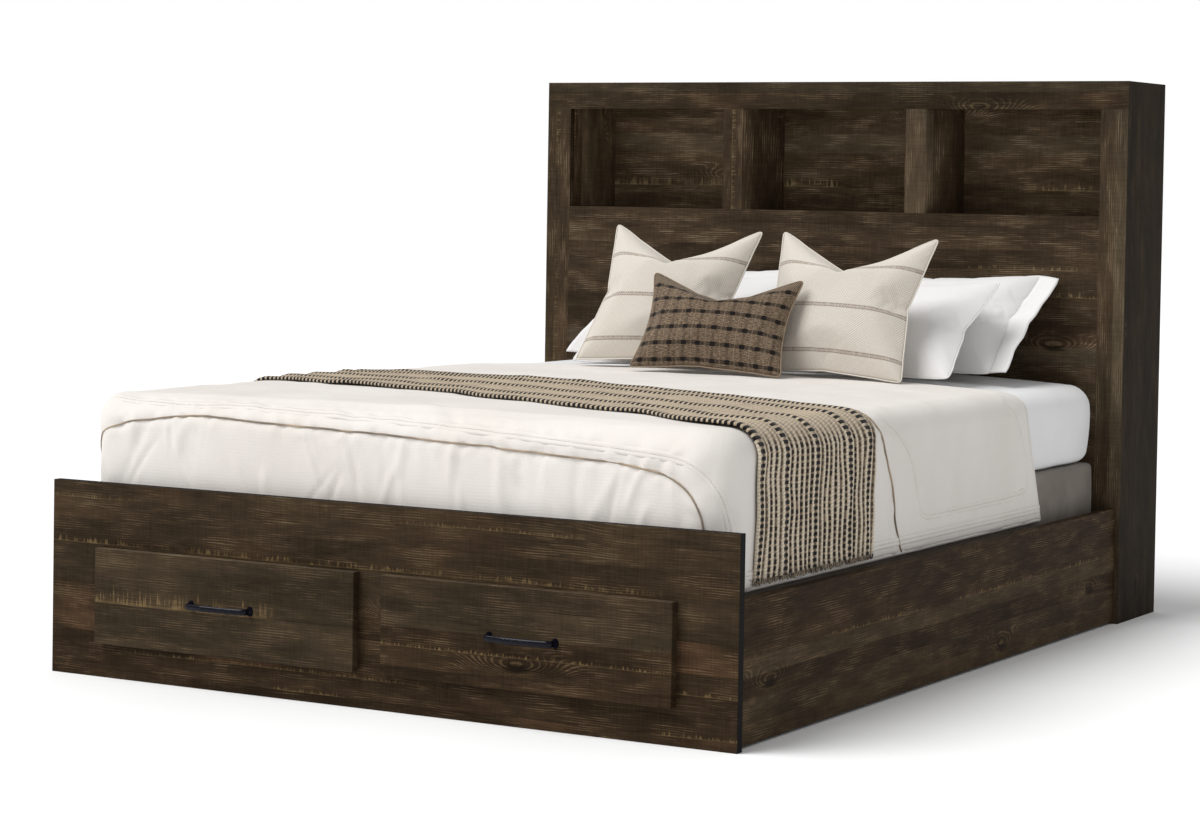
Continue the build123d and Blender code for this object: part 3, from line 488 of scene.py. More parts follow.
def weld(piece, gap=1e-5):
    work = bmesh.new()
    work.from_mesh(piece.data)
    bmesh.ops.remove_doubles(work, verts=work.verts, dist=gap)
    bmesh.ops.dissolve_degenerate(work, edges=work.edges, dist=gap)
    bmesh.ops.recalc_face_normals(work, faces=work.faces)
    work.to_mesh(piece.data)
    work.free()


def softNoise(x, y, cell, seed):
    rng = np.random.default_rng(seed)
    table = rng.random((64, 64)) * 2 - 1
    gx, gy = x / cell, y / cell
    ix, iy = np.floor(gx).astype(int), np.floor(gy).astype(int)
    fx, fy = gx - ix, gy - iy
    fx, fy = fx * fx * (3 - 2 * fx), fy * fy * (3 - 2 * fy)
    at = lambda i, j: table[(ix + i) % 64, (iy + j) % 64]
    return ((at(0, 0) * (1 - fx) + at(1, 0) * fx) * (1 - fy) + (at(0, 1) * (1 - fx) + at(1, 1) * fx) * fy)


def smoothStep(value, low, high):
    t = np.clip((value - low) / (high - low), 0, 1)
    return t * t * (3 - 2 * t)


def gridFaces(rows, columns, flip=False, offset=0):
    i, j = np.meshgrid(np.arange(rows - 1), np.arange(columns - 1), indexing="ij")
    a = offset + i * columns + j
    quad = np.stack([a, a + 1, a + columns + 1, a + columns], axis=-1).reshape(-1, 4)
    return quad[:, ::-1] if flip else quad


def gridNormals(points):
    down, over = np.gradient(points, axis=0), np.gradient(points, axis=1)
    n = np.cross(down, over)
    size = np.linalg.norm(n, axis=-1, keepdims=True)
    return n / np.maximum(size, 1e-9)


def tube(points, radius, sides=8, closed=False):
    points = np.asarray(points, dtype=float)
    count = len(points)
    ahead = np.gradient(points, axis=0) if not closed else np.roll(points, -1, 0) - np.roll(points, 1, 0)
    ahead /= np.maximum(np.linalg.norm(ahead, axis=1, keepdims=True), 1e-12)
    across = np.zeros_like(points)
    guide = np.array([0.0, 0.0, 1.0]) if abs(ahead[0][2]) < 0.9 else np.array([1.0, 0.0, 0.0])
    for k in range(count):
        guide = guide - ahead[k] * np.dot(guide, ahead[k])
        guide /= np.linalg.norm(guide)
        across[k] = guide
    other = np.cross(ahead, across)
    turn = np.arange(sides) * 2 * math.pi / sides
    wide = np.broadcast_to(np.asarray(radius, dtype=float), (count,))
    ring = points[:, None, :] + wide[:, None, None] * (np.cos(turn)[None, :, None] * across[:, None, :]
                                                       + np.sin(turn)[None, :, None] * other[:, None, :])
    verts = ring.reshape(-1, 3)
    faces = []
    last = count if closed else count - 1
    for k in range(last):
        for s in range(sides):
            m = (k + 1) % count
            t = (s + 1) % sides
            faces.append((k * sides + s, m * sides + s, m * sides + t, k * sides + t)[::-1])
    if not closed:
        faces.append(tuple(range(sides)))
        faces.append(tuple(range((count - 1) * sides, count * sides))[::-1])
    return verts, faces


def evenLine(points, step):
    points = np.asarray(points, dtype=float)
    gaps = np.r_[0, np.cumsum(np.linalg.norm(np.diff(points, axis=0), axis=1))]
    fine = np.linspace(0, gaps[-1], max(2, int(gaps[-1] / step) + 1))
    raw = np.stack([np.interp(fine, gaps, points[:, k]) for k in range(points.shape[1])], axis=1)
    window = np.array([1, 2, 3, 2, 1], dtype=float)
    window /= window.sum()
    for _ in range(6):
        padded = np.vstack([raw[:1], raw[:1], raw, raw[-1:], raw[-1:]])
        raw[1:-1] = sum(window[k] * padded[k:k + len(raw)] for k in range(5))[1:-1]
    return raw


def clothFinish(name, look):
    finish, tree, shader = newFinish(name)
    spot = add(tree, "TexCoord").outputs["Object"]
    cloud = noiseAt(tree, spot, look.get("cloudScale", 5.0), 3.0, 0.5)
    color = mixColor(tree, span(tree, cloud, 0.3, 0.7), tint(look["color"]), tint(look["other"]))
    put(tree, color, shader.inputs["Base Color"])
    shader.inputs["Roughness"].default_value = look.get("roughness", 0.85)
    shader.inputs["Sheen Weight"].default_value = look.get("sheen", 0.15)
    shader.inputs["Sheen Roughness"].default_value = 0.5
    shader.inputs["Specular IOR Level"].default_value = 0.2
    weave = look.get("weave", 900.0)
    axes = add(tree, "SeparateXYZ", {0: spot}).outputs
    threads = calc(tree, "ADD", calc(tree, "SINE", calc(tree, "MULTIPLY", calc(tree, "ADD", axes["X"], axes["Z"]), weave)),
                   calc(tree, "SINE", calc(tree, "MULTIPLY", calc(tree, "ADD", axes["Y"], axes["Z"]), weave)))
    normal = bump(tree, threads, look.get("weaveStrength", 0.12), 0.0004)
    folds = noiseAt(tree, add(tree, "Mapping", {"Vector": spot, "Scale": look.get("foldStretch", (1.0, 1.0, 1.0))}).outputs[0],
                    look.get("foldScale", 9.0), 3.0, 0.5, 0.8)
    put(tree, bump(tree, folds, look.get("foldStrength", 0.3), look.get("foldDepth", 0.006), normal),
        shader.inputs["Normal"])
    return finish


finishes = {
    "sheet": clothFinish("mattress_sheet_look", {"color": (0.735, 0.735, 0.735), "other": (0.775, 0.775, 0.78),
                                                 "foldScale": 7.0, "foldDepth": 0.004}),
    "base": clothFinish("foundation_look", {"color": (0.150, 0.128, 0.108), "other": (0.190, 0.165, 0.142),
                                            "cloudScale": 14.0, "foldStrength": 0.1}),
    "comforter": clothFinish("comforter_look", {"color": (0.690, 0.650, 0.606), "other": (0.730, 0.694, 0.655),
                                                "foldScale": 5.0, "foldDepth": 0.007, "foldStretch": (3.2, 3.2, 0.8)}),
    "piping": clothFinish("piping_look", {"color": (0.175, 0.140, 0.108), "other": (0.42, 0.325, 0.225), "cloudScale": 14.0}),
    "thread": clothFinish("thread_look", {"color": (0.56, 0.51, 0.45), "other": (0.66, 0.61, 0.55), "cloudScale": 40.0}),
    "fringe": clothFinish("fringe_look", {"color": (0.36, 0.285, 0.200), "other": (0.085, 0.065, 0.048),
                                          "cloudScale": 55.0, "weave": 2600.0, "weaveStrength": 0.5}),
    "pillow": clothFinish("pillow_cotton_look", {"color": (0.725, 0.715, 0.705), "other": (0.775, 0.765, 0.757),
                                                 "foldScale": 11.0, "foldDepth": 0.005}),
}

# valley is the dark yarn between the ribs and also the painted shade in those recesses where the throw hangs; pale
# serves only as a painted highlight on the hanging rib tops
throwLook = {"ribs": 24, "pitch": 0.0130, "ridge": (0.42, 0.335, 0.228), "cream": (0.57, 0.480, 0.365),
             "pale": (0.80, 0.72, 0.59), "valley": (0.115, 0.078, 0.047), "dot": (0.0075, 0.0065, 0.0060), "bold": (0.5, 5.5, 11.5, 18.5, 22.5),
             "bend": 0.585}


def knitFinish(look):
    finish, tree, shader = newFinish("throw_knit_look")
    cut = add(tree, "SeparateXYZ", {0: add(tree, "TexCoord").outputs["UV"]}).outputs
    z = add(tree, "SeparateXYZ", {0: add(tree, "TexCoord").outputs["Object"]}).outputs["Z"]
    hang = span(tree, z, look["bend"] - 0.030, look["bend"] + 0.012, 1.0, 0.0)
    stray = noiseAt(tree, combine(tree, calc(tree, "MULTIPLY", cut["X"], 3.5), calc(tree, "MULTIPLY", cut["Y"], 9.0)), 1.0, 1.0)
    place = calc(tree, "MULTIPLY", cut["X"], look["ribs"])
    straying = calc(tree, "MULTIPLY", calc(tree, "SUBTRACT", stray, 0.5), 0.55)
    lane = calc(tree, "FLOOR", place)
    inLane = calc(tree, "ABSOLUTE", calc(tree, "SUBTRACT", calc(tree, "ADD", calc(tree, "FRACT", place), straying), 0.5))
    chance = add(tree, "TexWhiteNoise", {"W": lane}, noise_dimensions="1D").outputs[0]
    beat = calc(tree, "MULTIPLY_ADD", chance, 0.45, calc(tree, "DIVIDE", cut["Y"], look["pitch"]))
    beatNumber = calc(tree, "FLOOR", beat)
    inBeat = calc(tree, "ABSOLUTE", calc(tree, "SUBTRACT", calc(tree, "FRACT", beat), 0.5))
    luck = add(tree, "TexWhiteNoise", {"Vector": combine(tree, lane, beatNumber)}, noise_dimensions="2D").outputs[0]
    valley = span(tree, inLane, 0.12, 0.30, 1.0, 0.0)
    # bold rows of dots cross the ribs beside them on the bed and narrow where the throw hangs
    bold, knots = 0.0, 0.0
    reach = calc(tree, "MULTIPLY_ADD", hang, -0.30, 0.69)
    along = calc(tree, "DIVIDE", cut["Y"], look["pitch"])
    drawn = calc(tree, "MULTIPLY_ADD", straying, 0.5, place)
    for middle in look["bold"]:
        row = calc(tree, "LESS_THAN", calc(tree, "ABSOLUTE", calc(tree, "SUBTRACT", drawn, middle)), reach)
        step = calc(tree, "FRACT", calc(tree, "ADD", along, middle * 0.37))
        mark = calc(tree, "LESS_THAN", calc(tree, "ABSOLUTE", calc(tree, "SUBTRACT", step, 0.5)), 0.29)
        knots = calc(tree, "MAXIMUM", calc(tree, "MULTIPLY", row, mark), knots)
        bold = calc(tree, "MAXIMUM", row, bold)
    wide = calc(tree, "MULTIPLY_ADD", luck, 0.05, calc(tree, "MULTIPLY_ADD", hang, 0.14, 0.10))
    dash = calc(tree, "MULTIPLY", calc(tree, "LESS_THAN", inBeat, calc(tree, "MULTIPLY_ADD", luck, 0.11, 0.255)),
                calc(tree, "LESS_THAN", inLane, wide))
    faint = calc(tree, "MULTIPLY", calc(tree, "GREATER_THAN", luck, 0.45), 0.38)
    shown = calc(tree, "MULTIPLY", hang, calc(tree, "MULTIPLY_ADD", calc(tree, "GREATER_THAN", luck, 0.06), 0.85, 0.1))
    strength = span(tree, calc(tree, "MULTIPLY_ADD", luck, 0.25, chance), 0.25, 0.75, 0.62, 1.0)
    dash = calc(tree, "MULTIPLY", calc(tree, "MULTIPLY", dash, calc(tree, "MAXIMUM", faint, shown)), strength)
    dash = calc(tree, "MAXIMUM", calc(tree, "MULTIPLY", dash, calc(tree, "SUBTRACT", 1.0, bold)), knots)
    knit = add(tree, "TexNoise", {"Vector": combine(tree, calc(tree, "MULTIPLY", cut["X"], 190.0),
                                                    calc(tree, "MULTIPLY", cut["Y"], 260.0)),
                                  "Scale": 1.0, "Detail": 3.0, "Roughness": 0.6}).outputs[0]
    twist = calc(tree, "SINE", calc(tree, "MULTIPLY_ADD", cut["Y"], 900.0, calc(tree, "MULTIPLY", place, 5.0)))
    yarn = mixColor(tree, span(tree, knit, 0.3, 0.7), tint(look["ridge"]), tint(look["cream"]))
    # painted highlight: where the throw hangs, the rib tops are mixed towards pale to stand in for light catching the
    # raised cords
    rib = calc(tree, "MULTIPLY", span(tree, inLane, 0.30, 0.44), calc(tree, "MULTIPLY", hang, 0.62))
    yarn = mixColor(tree, rib, yarn, tint(look["pale"]))
    # dark yarn between the ribs, deepened where the throw hangs as painted shade in the recesses
    depth = calc(tree, "MULTIPLY", valley, calc(tree, "MULTIPLY_ADD", hang, 0.62, 0.26))
    color = mixColor(tree, depth, yarn, tint(look["valley"]))
    color = mixColor(tree, calc(tree, "MULTIPLY", span(tree, twist, -1.0, 0.2, 0.28, 0.0), 1.0), color, tint(look["valley"]))
    color = mixColor(tree, dash, color, tint(look["dot"]))
    put(tree, color, shader.inputs["Base Color"])
    shader.inputs["Roughness"].default_value = 0.92
    shader.inputs["Specular IOR Level"].default_value = 0.12
    shader.inputs["Sheen Weight"].default_value = 0.12
    height = calc(tree, "MULTIPLY_ADD", knots, 0.9, calc(tree, "MULTIPLY_ADD", twist, 0.35, knit))
    put(tree, bump(tree, height, 0.7, 0.0012), shader.inputs["Normal"])
    return finish


linenLook = {"cream": (0.545, 0.495, 0.430), "pale": (0.665, 0.620, 0.555), "stripe": (0.215, 0.165, 0.125),
             "rows": (0.108, -0.030, -0.152), "twill": 0.0074, "column": 0.062}


def linenFinish(look):
    finish, tree, shader = newFinish("linen_weave_look")
    cut = add(tree, "SeparateXYZ", {0: add(tree, "TexCoord").outputs["UV"]}).outputs
    x, y = cut["X"], cut["Y"]
    slub = noiseAt(tree, combine(tree, calc(tree, "MULTIPLY", x, 60.0), calc(tree, "MULTIPLY", y, 900.0)), 1.0, 3.0, 0.6)
    fine = noiseAt(tree, combine(tree, calc(tree, "MULTIPLY", x, 700.0), calc(tree, "MULTIPLY", y, 90.0)), 1.0, 2.0, 0.6)
    zig = calc(tree, "PINGPONG", x, look["column"])
    twill = calc(tree, "SINE", calc(tree, "MULTIPLY", calc(tree, "ADD", zig, y), 2 * math.pi / look["twill"]))
    body = span(tree, calc(tree, "ABSOLUTE", calc(tree, "ADD", y, 0.02)), 0.085, 0.135, 1.0, 0.15)
    tone = calc(tree, "MULTIPLY_ADD", twill, calc(tree, "MULTIPLY", body, 0.38), calc(tree, "MULTIPLY_ADD", slub, 0.5, fine))
    color = mixColor(tree, span(tree, tone, 0.3, 1.2), tint(look["cream"]), tint(look["pale"]))
    band = None
    for middle in look["rows"]:
        away = calc(tree, "ABSOLUTE", calc(tree, "SUBTRACT", y, middle))
        rim = calc(tree, "ABSOLUTE", calc(tree, "SUBTRACT", away, 0.0040))
        line = calc(tree, "ADD", span(tree, rim, 0.0004, 0.0022, 0.38, 0.0), span(tree, away, 0.0042, 0.0062, 0.52, 0.0))
        band = line if band is None else calc(tree, "ADD", band, line)
    worn = noiseAt(tree, combine(tree, calc(tree, "MULTIPLY", x, 240.0), calc(tree, "MULTIPLY", y, 90.0)), 1.0, 2.0)
    band = calc(tree, "MULTIPLY", band, span(tree, worn, 0.3, 0.6, 0.55, 1.0), clamp=True)
    color = mixColor(tree, band, color, tint(look["stripe"]))
    put(tree, color, shader.inputs["Base Color"])
    shader.inputs["Roughness"].default_value = 0.9
    shader.inputs["Specular IOR Level"].default_value = 0.15
    shader.inputs["Sheen Weight"].default_value = 0.15
    put(tree, bump(tree, tone, 0.6, 0.0011), shader.inputs["Normal"])
    return finish


checkLook = {"tan": (0.138, 0.096, 0.063), "brown": (0.034, 0.023, 0.015), "pale": (0.315, 0.238, 0.166),
             "dark": (0.0085, 0.0065, 0.0055), "row": 0.0435, "rowShift": 0.012, "column": 0.0405, "square": 0.0070,
             "band": 0.0050, "border": 0.106}


def checkFinish(look):
    finish, tree, shader = newFinish("check_weave_look")
    cut = add(tree, "SeparateXYZ", {0: add(tree, "TexCoord").outputs["UV"]}).outputs
    x, y = cut["X"], cut["Y"]
    slub = noiseAt(tree, combine(tree, calc(tree, "MULTIPLY", x, 85.0), calc(tree, "MULTIPLY", y, 620.0)), 1.0, 4.0, 0.7)
    speck = noiseAt(tree, combine(tree, calc(tree, "MULTIPLY", x, 420.0), calc(tree, "MULTIPLY", y, 420.0)), 1.0, 2.0, 0.7)
    color = ramp(tree, calc(tree, "MULTIPLY_ADD", speck, 0.35, calc(tree, "MULTIPLY", slub, 0.65)),
                 [(0.41, look["brown"]), (0.50, look["tan"]), (0.60, look["pale"])])

    def away(value, period, shift):
        turned = calc(tree, "FRACT", calc(tree, "DIVIDE", calc(tree, "ADD", value, shift), period))
        return calc(tree, "MULTIPLY", calc(tree, "ABSOLUTE", calc(tree, "SUBTRACT", turned, 0.5)), period)

    wave = calc(tree, "MULTIPLY_ADD", calc(tree, "SUBTRACT", speck, 0.5), 0.0022, y)
    fromRow = away(wave, look["row"], look["rowShift"])
    fromColumn = away(calc(tree, "MULTIPLY_ADD", calc(tree, "SUBTRACT", slub, 0.5), 0.002, x), look["column"], 0.0)
    fromHalf = away(x, look["column"], look["column"] / 2)
    onRow = calc(tree, "LESS_THAN", fromRow, look["band"])
    stitch = span(tree, calc(tree, "SINE", calc(tree, "MULTIPLY", x, 2100.0)), -0.4, 0.6)
    rowShade = calc(tree, "MULTIPLY", onRow, calc(tree, "MULTIPLY_ADD", stitch, 0.35, 0.50))
    color = mixColor(tree, rowShade, color, tint(look["dark"]))
    upright = calc(tree, "MULTIPLY", calc(tree, "LESS_THAN", fromColumn, 0.0040), 0.36)
    color = mixColor(tree, upright, color, tint(look["brown"]))
    color = mixColor(tree, calc(tree, "MULTIPLY", calc(tree, "LESS_THAN", fromHalf, 0.0014), 0.25), color, tint(look["pale"]))
    square = calc(tree, "MULTIPLY", calc(tree, "LESS_THAN", fromRow, look["band"] * 1.15),
                  calc(tree, "LESS_THAN", fromColumn, look["square"]))
    color = mixColor(tree, square, color, tint(look["dark"]))
    atTop = calc(tree, "GREATER_THAN", y, look["border"])
    cordLines = span(tree, calc(tree, "SINE", calc(tree, "MULTIPLY", calc(tree, "ADD", x, y), 1250.0)), -0.2, 0.4)
    color = mixColor(tree, calc(tree, "MULTIPLY", atTop, 0.85), color,
                     mixColor(tree, cordLines, tint(look["dark"]), tint(look["pale"])))
    put(tree, color, shader.inputs["Base Color"])
    shader.inputs["Roughness"].default_value = 0.93
    shader.inputs["Specular IOR Level"].default_value = 0.12
    shader.inputs["Sheen Weight"].default_value = 0.1
    put(tree, bump(tree, calc(tree, "ADD", slub, speck), 0.6, 0.0014), shader.inputs["Normal"])
    return finish


finishes["throw"] = knitFinish(throwLook)
finishes["linen"] = linenFinish(linenLook)
finishes["check"] = checkFinish(checkLook)

bedPlan = {"half": 0.762, "foot": -1.1035, "head": 0.9285, "corner": 0.075, "edge": 0.048,
           "shoulder": 0.5907, "crownFoot": 0.008, "crownHead": 0.020, "bottom": 0.3987}



def crownHeight(x, y, grow=0.0):
    share = (y - bedPlan["foot"]) / (bedPlan["head"] - bedPlan["foot"])
    rise = bedPlan["crownFoot"] + (bedPlan["crownHead"] - bedPlan["crownFoot"]) * share
    half = bedPlan["half"] - bedPlan["edge"]
    return bedPlan["shoulder"] + grow + rise * (1 - np.clip(np.abs(x) / half, 0, 1) ** 2)


def ringBlock(name, look, finish):
    half, low, high = look["half"], look["foot"], look["head"]
    middle, length = (low + high) / 2, (high - low) / 2
    step = look["step"]
    sideCount, endCount, cornerCount = int(2 * length / step), int(2 * half / step), 7
    rings = []
    flat = half - look["edge"]
    inner = [(half - d, "bottom") for d in np.linspace(0.0, flat, max(3, int(flat / (step * 3))))]
    rows = [(inset, z) for inset, z in [(v[0], look["bottom"]) for v in inner]]
    for angle in np.linspace(0, math.pi / 2, 6)[1:]:
        r = look["edge"] * 0.6
        rows.append((r - r * math.sin(angle) + 0.0, look["bottom"] + r - r * math.cos(angle)))
    rows[len(inner) - 1] = (look["edge"] * 0.6, look["bottom"])
    rise = look["shoulder"] - look["edge"] - (look["bottom"] + look["edge"] * 0.6)
    for part in np.linspace(0, 1, max(4, int(rise / step)))[1:]:
        rows.append((0.0, look["bottom"] + look["edge"] * 0.6 + rise * part))
    for angle in np.linspace(0, math.pi / 2, 8)[1:]:
        r = look["edge"]
        rows.append((r - r * math.cos(angle), look["shoulder"] - r + r * math.sin(angle)))
    for inset in np.linspace(look["edge"], half, int(flat / step))[1:]:
        rows.append((inset, None))
    grid = []
    for inset, z in rows:
        hx, hy = max(half - inset, 0.0), length - inset
        corner = min(max(look["corner"] - inset, 0.012), max(hx, 0.0))
        ring = []
        for sx, sy, turn in ((1, -1, -90), (1, 1, 0), (-1, 1, 90), (-1, -1, 180)):
            cx, cy = sx * (hx - corner), sy * (hy - corner)
            for angle in np.linspace(turn, turn + 90, cornerCount):
                ring.append((cx + corner * math.cos(math.radians(angle)), cy + corner * math.sin(math.radians(angle))))
            tip = ring[-1]
            following = {(1, -1): (hx, hy - corner), (1, 1): (corner - hx, hy), (-1, 1): (-hx, corner - hy),
                         (-1, -1): (hx - corner, -hy)}[(sx, sy)]
            count = sideCount if (sx, sy) in ((1, -1), (-1, 1)) else endCount
            for part in np.linspace(0, 1, count + 1)[1:-1]:
                ring.append((tip[0] + (following[0] - tip[0]) * part, tip[1] + (following[1] - tip[1]) * part))
        ring = np.array(ring)
        height = np.full(len(ring), z if z is not None else 0.0)
        if z is None:
            share = (ring[:, 1] + length) / (2 * length)
            crown = look["crownFoot"] + (look["crownHead"] - look["crownFoot"]) * share
            height = look["shoulder"] + crown * (1 - np.clip(np.abs(ring[:, 0]) / flat, 0, 1) ** 2)
        grid.append(np.column_stack([ring[:, 0], ring[:, 1] + middle, height]))
    points = np.array(grid)
    rowsCount, columns = points.shape[:2]
    bulge = look.get("bulge", 0.0)
    if bulge:
        z = points[:, :, 2]
        level = np.clip((z - look["bottom"]) / (look["shoulder"] - look["bottom"]), 0, 1)
        pull = -bulge * (2 * level - 1) ** 2
        wave = look["wave"] * softNoise(points[:, :, 1] + points[:, :, 0] * 1.7, z * 0.6, 0.09, 5)
        centre = np.array([0.0, middle])
        away = points[:, :, :2] - centre
        sideways = np.zeros_like(away)
        sideways[:, :, 0] = np.where(np.abs(points[:, :, 0]) > half - 0.06, np.sign(points[:, :, 0]), 0)
        sideways[:, :, 1] = np.where(np.abs(points[:, :, 1] - middle) > length - 0.06, np.sign(points[:, :, 1] - middle), 0)
        points[:, :, :2] += sideways * (pull + np.minimum(wave, 0) - abs(look["wave"]) * 0.2)[:, :, None]
    closedPoints = np.concatenate([points, points[:, :1]], axis=1)
    verts = closedPoints.reshape(-1, 3)
    faces = gridFaces(rowsCount, columns + 1)
    bottomRing = [tuple(range(columns))[::-1]]
    piece = makePiece(name, verts, list(map(tuple, faces)), None, finish)
    weld(piece, 2e-5)
    return piece


mattressSet = dict(bedPlan, corner=0.052, step=0.016, bulge=0.009, wave=0.003)
mattress = ringBlock("mattress_body", mattressSet, finishes["sheet"])
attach(mattress, "root")
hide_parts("mattress")
foundationSet = dict(bedPlan, step=0.03, bottom=0.2354, shoulder=0.3973, edge=0.012, corner=0.030, crownFoot=0.0008,
                     crownHead=0.0008, bulge=0.002, wave=0.0015)
foundation = ringBlock("foundation_body", foundationSet, finishes["base"])
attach(foundation, "root")
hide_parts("foundation")
print("mattress and foundation:", len(mattress.data.polygons), len(foundation.data.polygons))

comforterSet = {"under": 0.0010, "over": 0.0112, "sideHem": 0.2915, "footHem": 0.330, "headMiddle": 0.3636,
                "headTop": 0.432, "headBottom": 0.530, "footStep": 0.0062, "sideStep": 0.014, "topStep": 0.021,
                "dropStep": 0.0085, "arcRows": 14, "dip": 0.0030, "pucker": 0.0029}


def drapeGrid(look, grow):
    half, foot = bedPlan["half"] + grow, bedPlan["foot"] - grow
    edge, corner = bedPlan["edge"] + grow, bedPlan["corner"] + grow
    flat = half - edge
    tops = int(flat / look["topStep"])
    insets = list(np.linspace(half, edge, tops))
    insets += [edge - edge * math.sin(angle) for angle in np.linspace(0, math.pi / 2, look["arcRows"])[1:]]
    arcRows = len(insets)
    drops = int(0.25 / look["dropStep"])
    insets += [0.0] * drops
    columns = []
    sideCount = int(1.45 / look["sideStep"])
    footCount = int(2 * (half - corner) / look["footStep"])
    for inset in insets:
        hx = half - inset
        bend = min(max(corner - inset, 0.010), hx)
        low = foot + inset
        line = []
        for k in range(sideCount + 1):
            line.append((0, k / sideCount))
        for k in range(1, 10):
            line.append((1, k / 10))
        for k in range(footCount + 1):
            line.append((2, k / footCount))
        for k in range(1, 10):
            line.append((3, k / 10))
        for k in range(sideCount + 1):
            line.append((4, k / sideCount))
        columns.append((inset, hx, bend, low, line))
    count = len(columns[0][4])
    points = np.zeros((len(insets), count, 3))
    top = bedPlan["shoulder"] + grow
    for i, (inset, hx, bend, low, line) in enumerate(columns):
        if i < tops:
            z = None
        elif i < arcRows:
            angle = np.linspace(0, math.pi / 2, look["arcRows"])[i - tops + 1]
            z = top - edge + edge * math.cos(angle)
        else:
            z = (i - arcRows + 1) / drops
        for j, (kind, part) in enumerate(line):
            if kind in (0, 4):
                sign = -1 if kind == 0 else 1
                x = sign * hx
                if z is None or i < arcRows:
                    rise = smoothStep(np.array(edge - inset), 0.0, edge) if i >= tops else 0.0
                    head = look["headMiddle"] + (look["headTop"] - look["headMiddle"]) * float(rise)
                else:
                    head = look["headTop"] + (look["headBottom"] - look["headTop"]) * z
                start, end = (head, low + bend) if kind == 0 else (low + bend, head)
                y = start + (end - start) * part
            elif kind == 2:
                x = -(hx - bend) + 2 * (hx - bend) * part
                y = low
            else:
                turn = 180 + 90 * part if kind == 1 else 270 + 90 * part
                cx = (bend - hx) if kind == 1 else (hx - bend)
                x = cx + bend * math.cos(math.radians(turn))
                y = low + bend + bend * math.sin(math.radians(turn))
            if z is None:
                height = float(crownHeight(np.array(x), np.array(y), grow))
            elif i < arcRows:
                height = z
            else:
                toFoot = {0: 0.0, 1: part, 2: 1.0, 3: 1 - part, 4: 0.0}[kind]
                hem = look["sideHem"] + (look["footHem"] - look["sideHem"]) * toFoot
                height = (top - edge) + (hem - (top - edge)) * z
            points[i, j] = (x, y, height)
    return points, tops, arcRows


seamPlan = {
    "foot": [(-0.772, -1.01, 0.34), (-0.772, -1.04, 0.44), (-0.765, -1.08, 0.485), (-0.73, -1.10, 0.520),
             (-0.66, -1.115, 0.545), (-0.557, -1.115, 0.560), (-0.468, -1.11, 0.570), (-0.388, -1.115, 0.566),
             (-0.209, -1.115, 0.560), (-0.043, -1.115, 0.556), (0.282, -1.115, 0.541), (0.544, -1.115, 0.529),
             (0.65, -1.115, 0.513), (0.693, -1.115, 0.487), (0.719, -1.109, 0.446), (0.727, -1.106, 0.397),
             (0.730, -1.104, 0.335)],
    "flap": [(0.45, -0.40, 0.610), (0.60, -0.42, 0.606), (0.70, -0.43, 0.602), (0.745, -0.425, 0.592),
             (0.765, -0.41, 0.572), (0.772, -0.39, 0.550), (0.774, -0.375, 0.520), (0.774, -0.345, 0.465),
             (0.774, -0.321, 0.385), (0.774, -0.302, 0.323), (0.774, -0.28, 0.293)],
    "shoulder": [(-0.765, -1.00, 0.50), (-0.745, -1.05, 0.560), (-0.68, -1.085, 0.585), (-0.477, -1.098, 0.589),
                 (-0.407, -1.090, 0.596), (0.027, -1.102, 0.586), (0.506, -1.113, 0.559), (0.632, -1.115, 0.550),
                 (0.696, -1.112, 0.541), (0.733, -1.102, 0.513), (0.753, -1.085, 0.471), (0.762, -1.071, 0.421),
                 (0.768, -1.06, 0.34)],
    "panel": [(0.48, -0.36, 0.612), (0.595, -0.375, 0.606), (0.682, -0.385, 0.603), (0.745, -0.385, 0.592),
              (0.765, -0.352, 0.570), (0.773, -0.315, 0.548), (0.774, -0.264, 0.512), (0.774, -0.222, 0.465),
              (0.774, -0.200, 0.420), (0.774, -0.198, 0.375), (0.774, -0.16, 0.359), (0.774, 0.035, 0.358),
              (0.774, 0.271, 0.359), (0.774, 0.43, 0.362), (0.774, 0.452, 0.385), (0.774, 0.435, 0.44),
              (0.774, 0.405, 0.49), (0.774, 0.36, 0.545), (0.762, 0.325, 0.578), (0.70, 0.29, 0.602), (0.60, 0.27, 0.608)],
}
pipedSeams = ("foot", "flap")


def nearSeam(points, names):
    lines = np.concatenate([evenLine(seamPlan[name], 0.008) for name in names])
    flat = points.reshape(-1, 3)
    away = np.full(len(flat), 9.0)
    for start in range(0, len(flat), 4000):
        part = flat[start:start + 4000]
        away[start:start + 4000] = np.sqrt(((part[:, None, :] - lines[None, :, :]) ** 2).sum(axis=2)).min(axis=1)
    return away.reshape(points.shape[:2])


def creaseField(u, v, count, seed, box, length, width, height, lean):
    rng = random.Random(seed)
    total = np.zeros_like(u)
    for _ in range(count):
        cu = rng.uniform(box[0], box[1])
        cv = rng.uniform(box[2], box[3])
        angle = rng.gauss(lean[0], lean[1])
        size = length * rng.uniform(0.5, 1.4)
        wide = width * rng.uniform(0.6, 1.6)
        high = height * rng.uniform(0.35, 1.0) * (1 if rng.random() < 0.6 else -0.8)
        du, dv = u - cu, v - cv
        runs = du * math.cos(angle) + dv * math.sin(angle)
        off = dv * math.cos(angle) - du * math.sin(angle) + 0.12 * size * (runs / size) ** 2
        total += high * np.exp(-(off / wide) ** 2) * np.exp(-(runs / (size * 0.5)) ** 4)
    return total


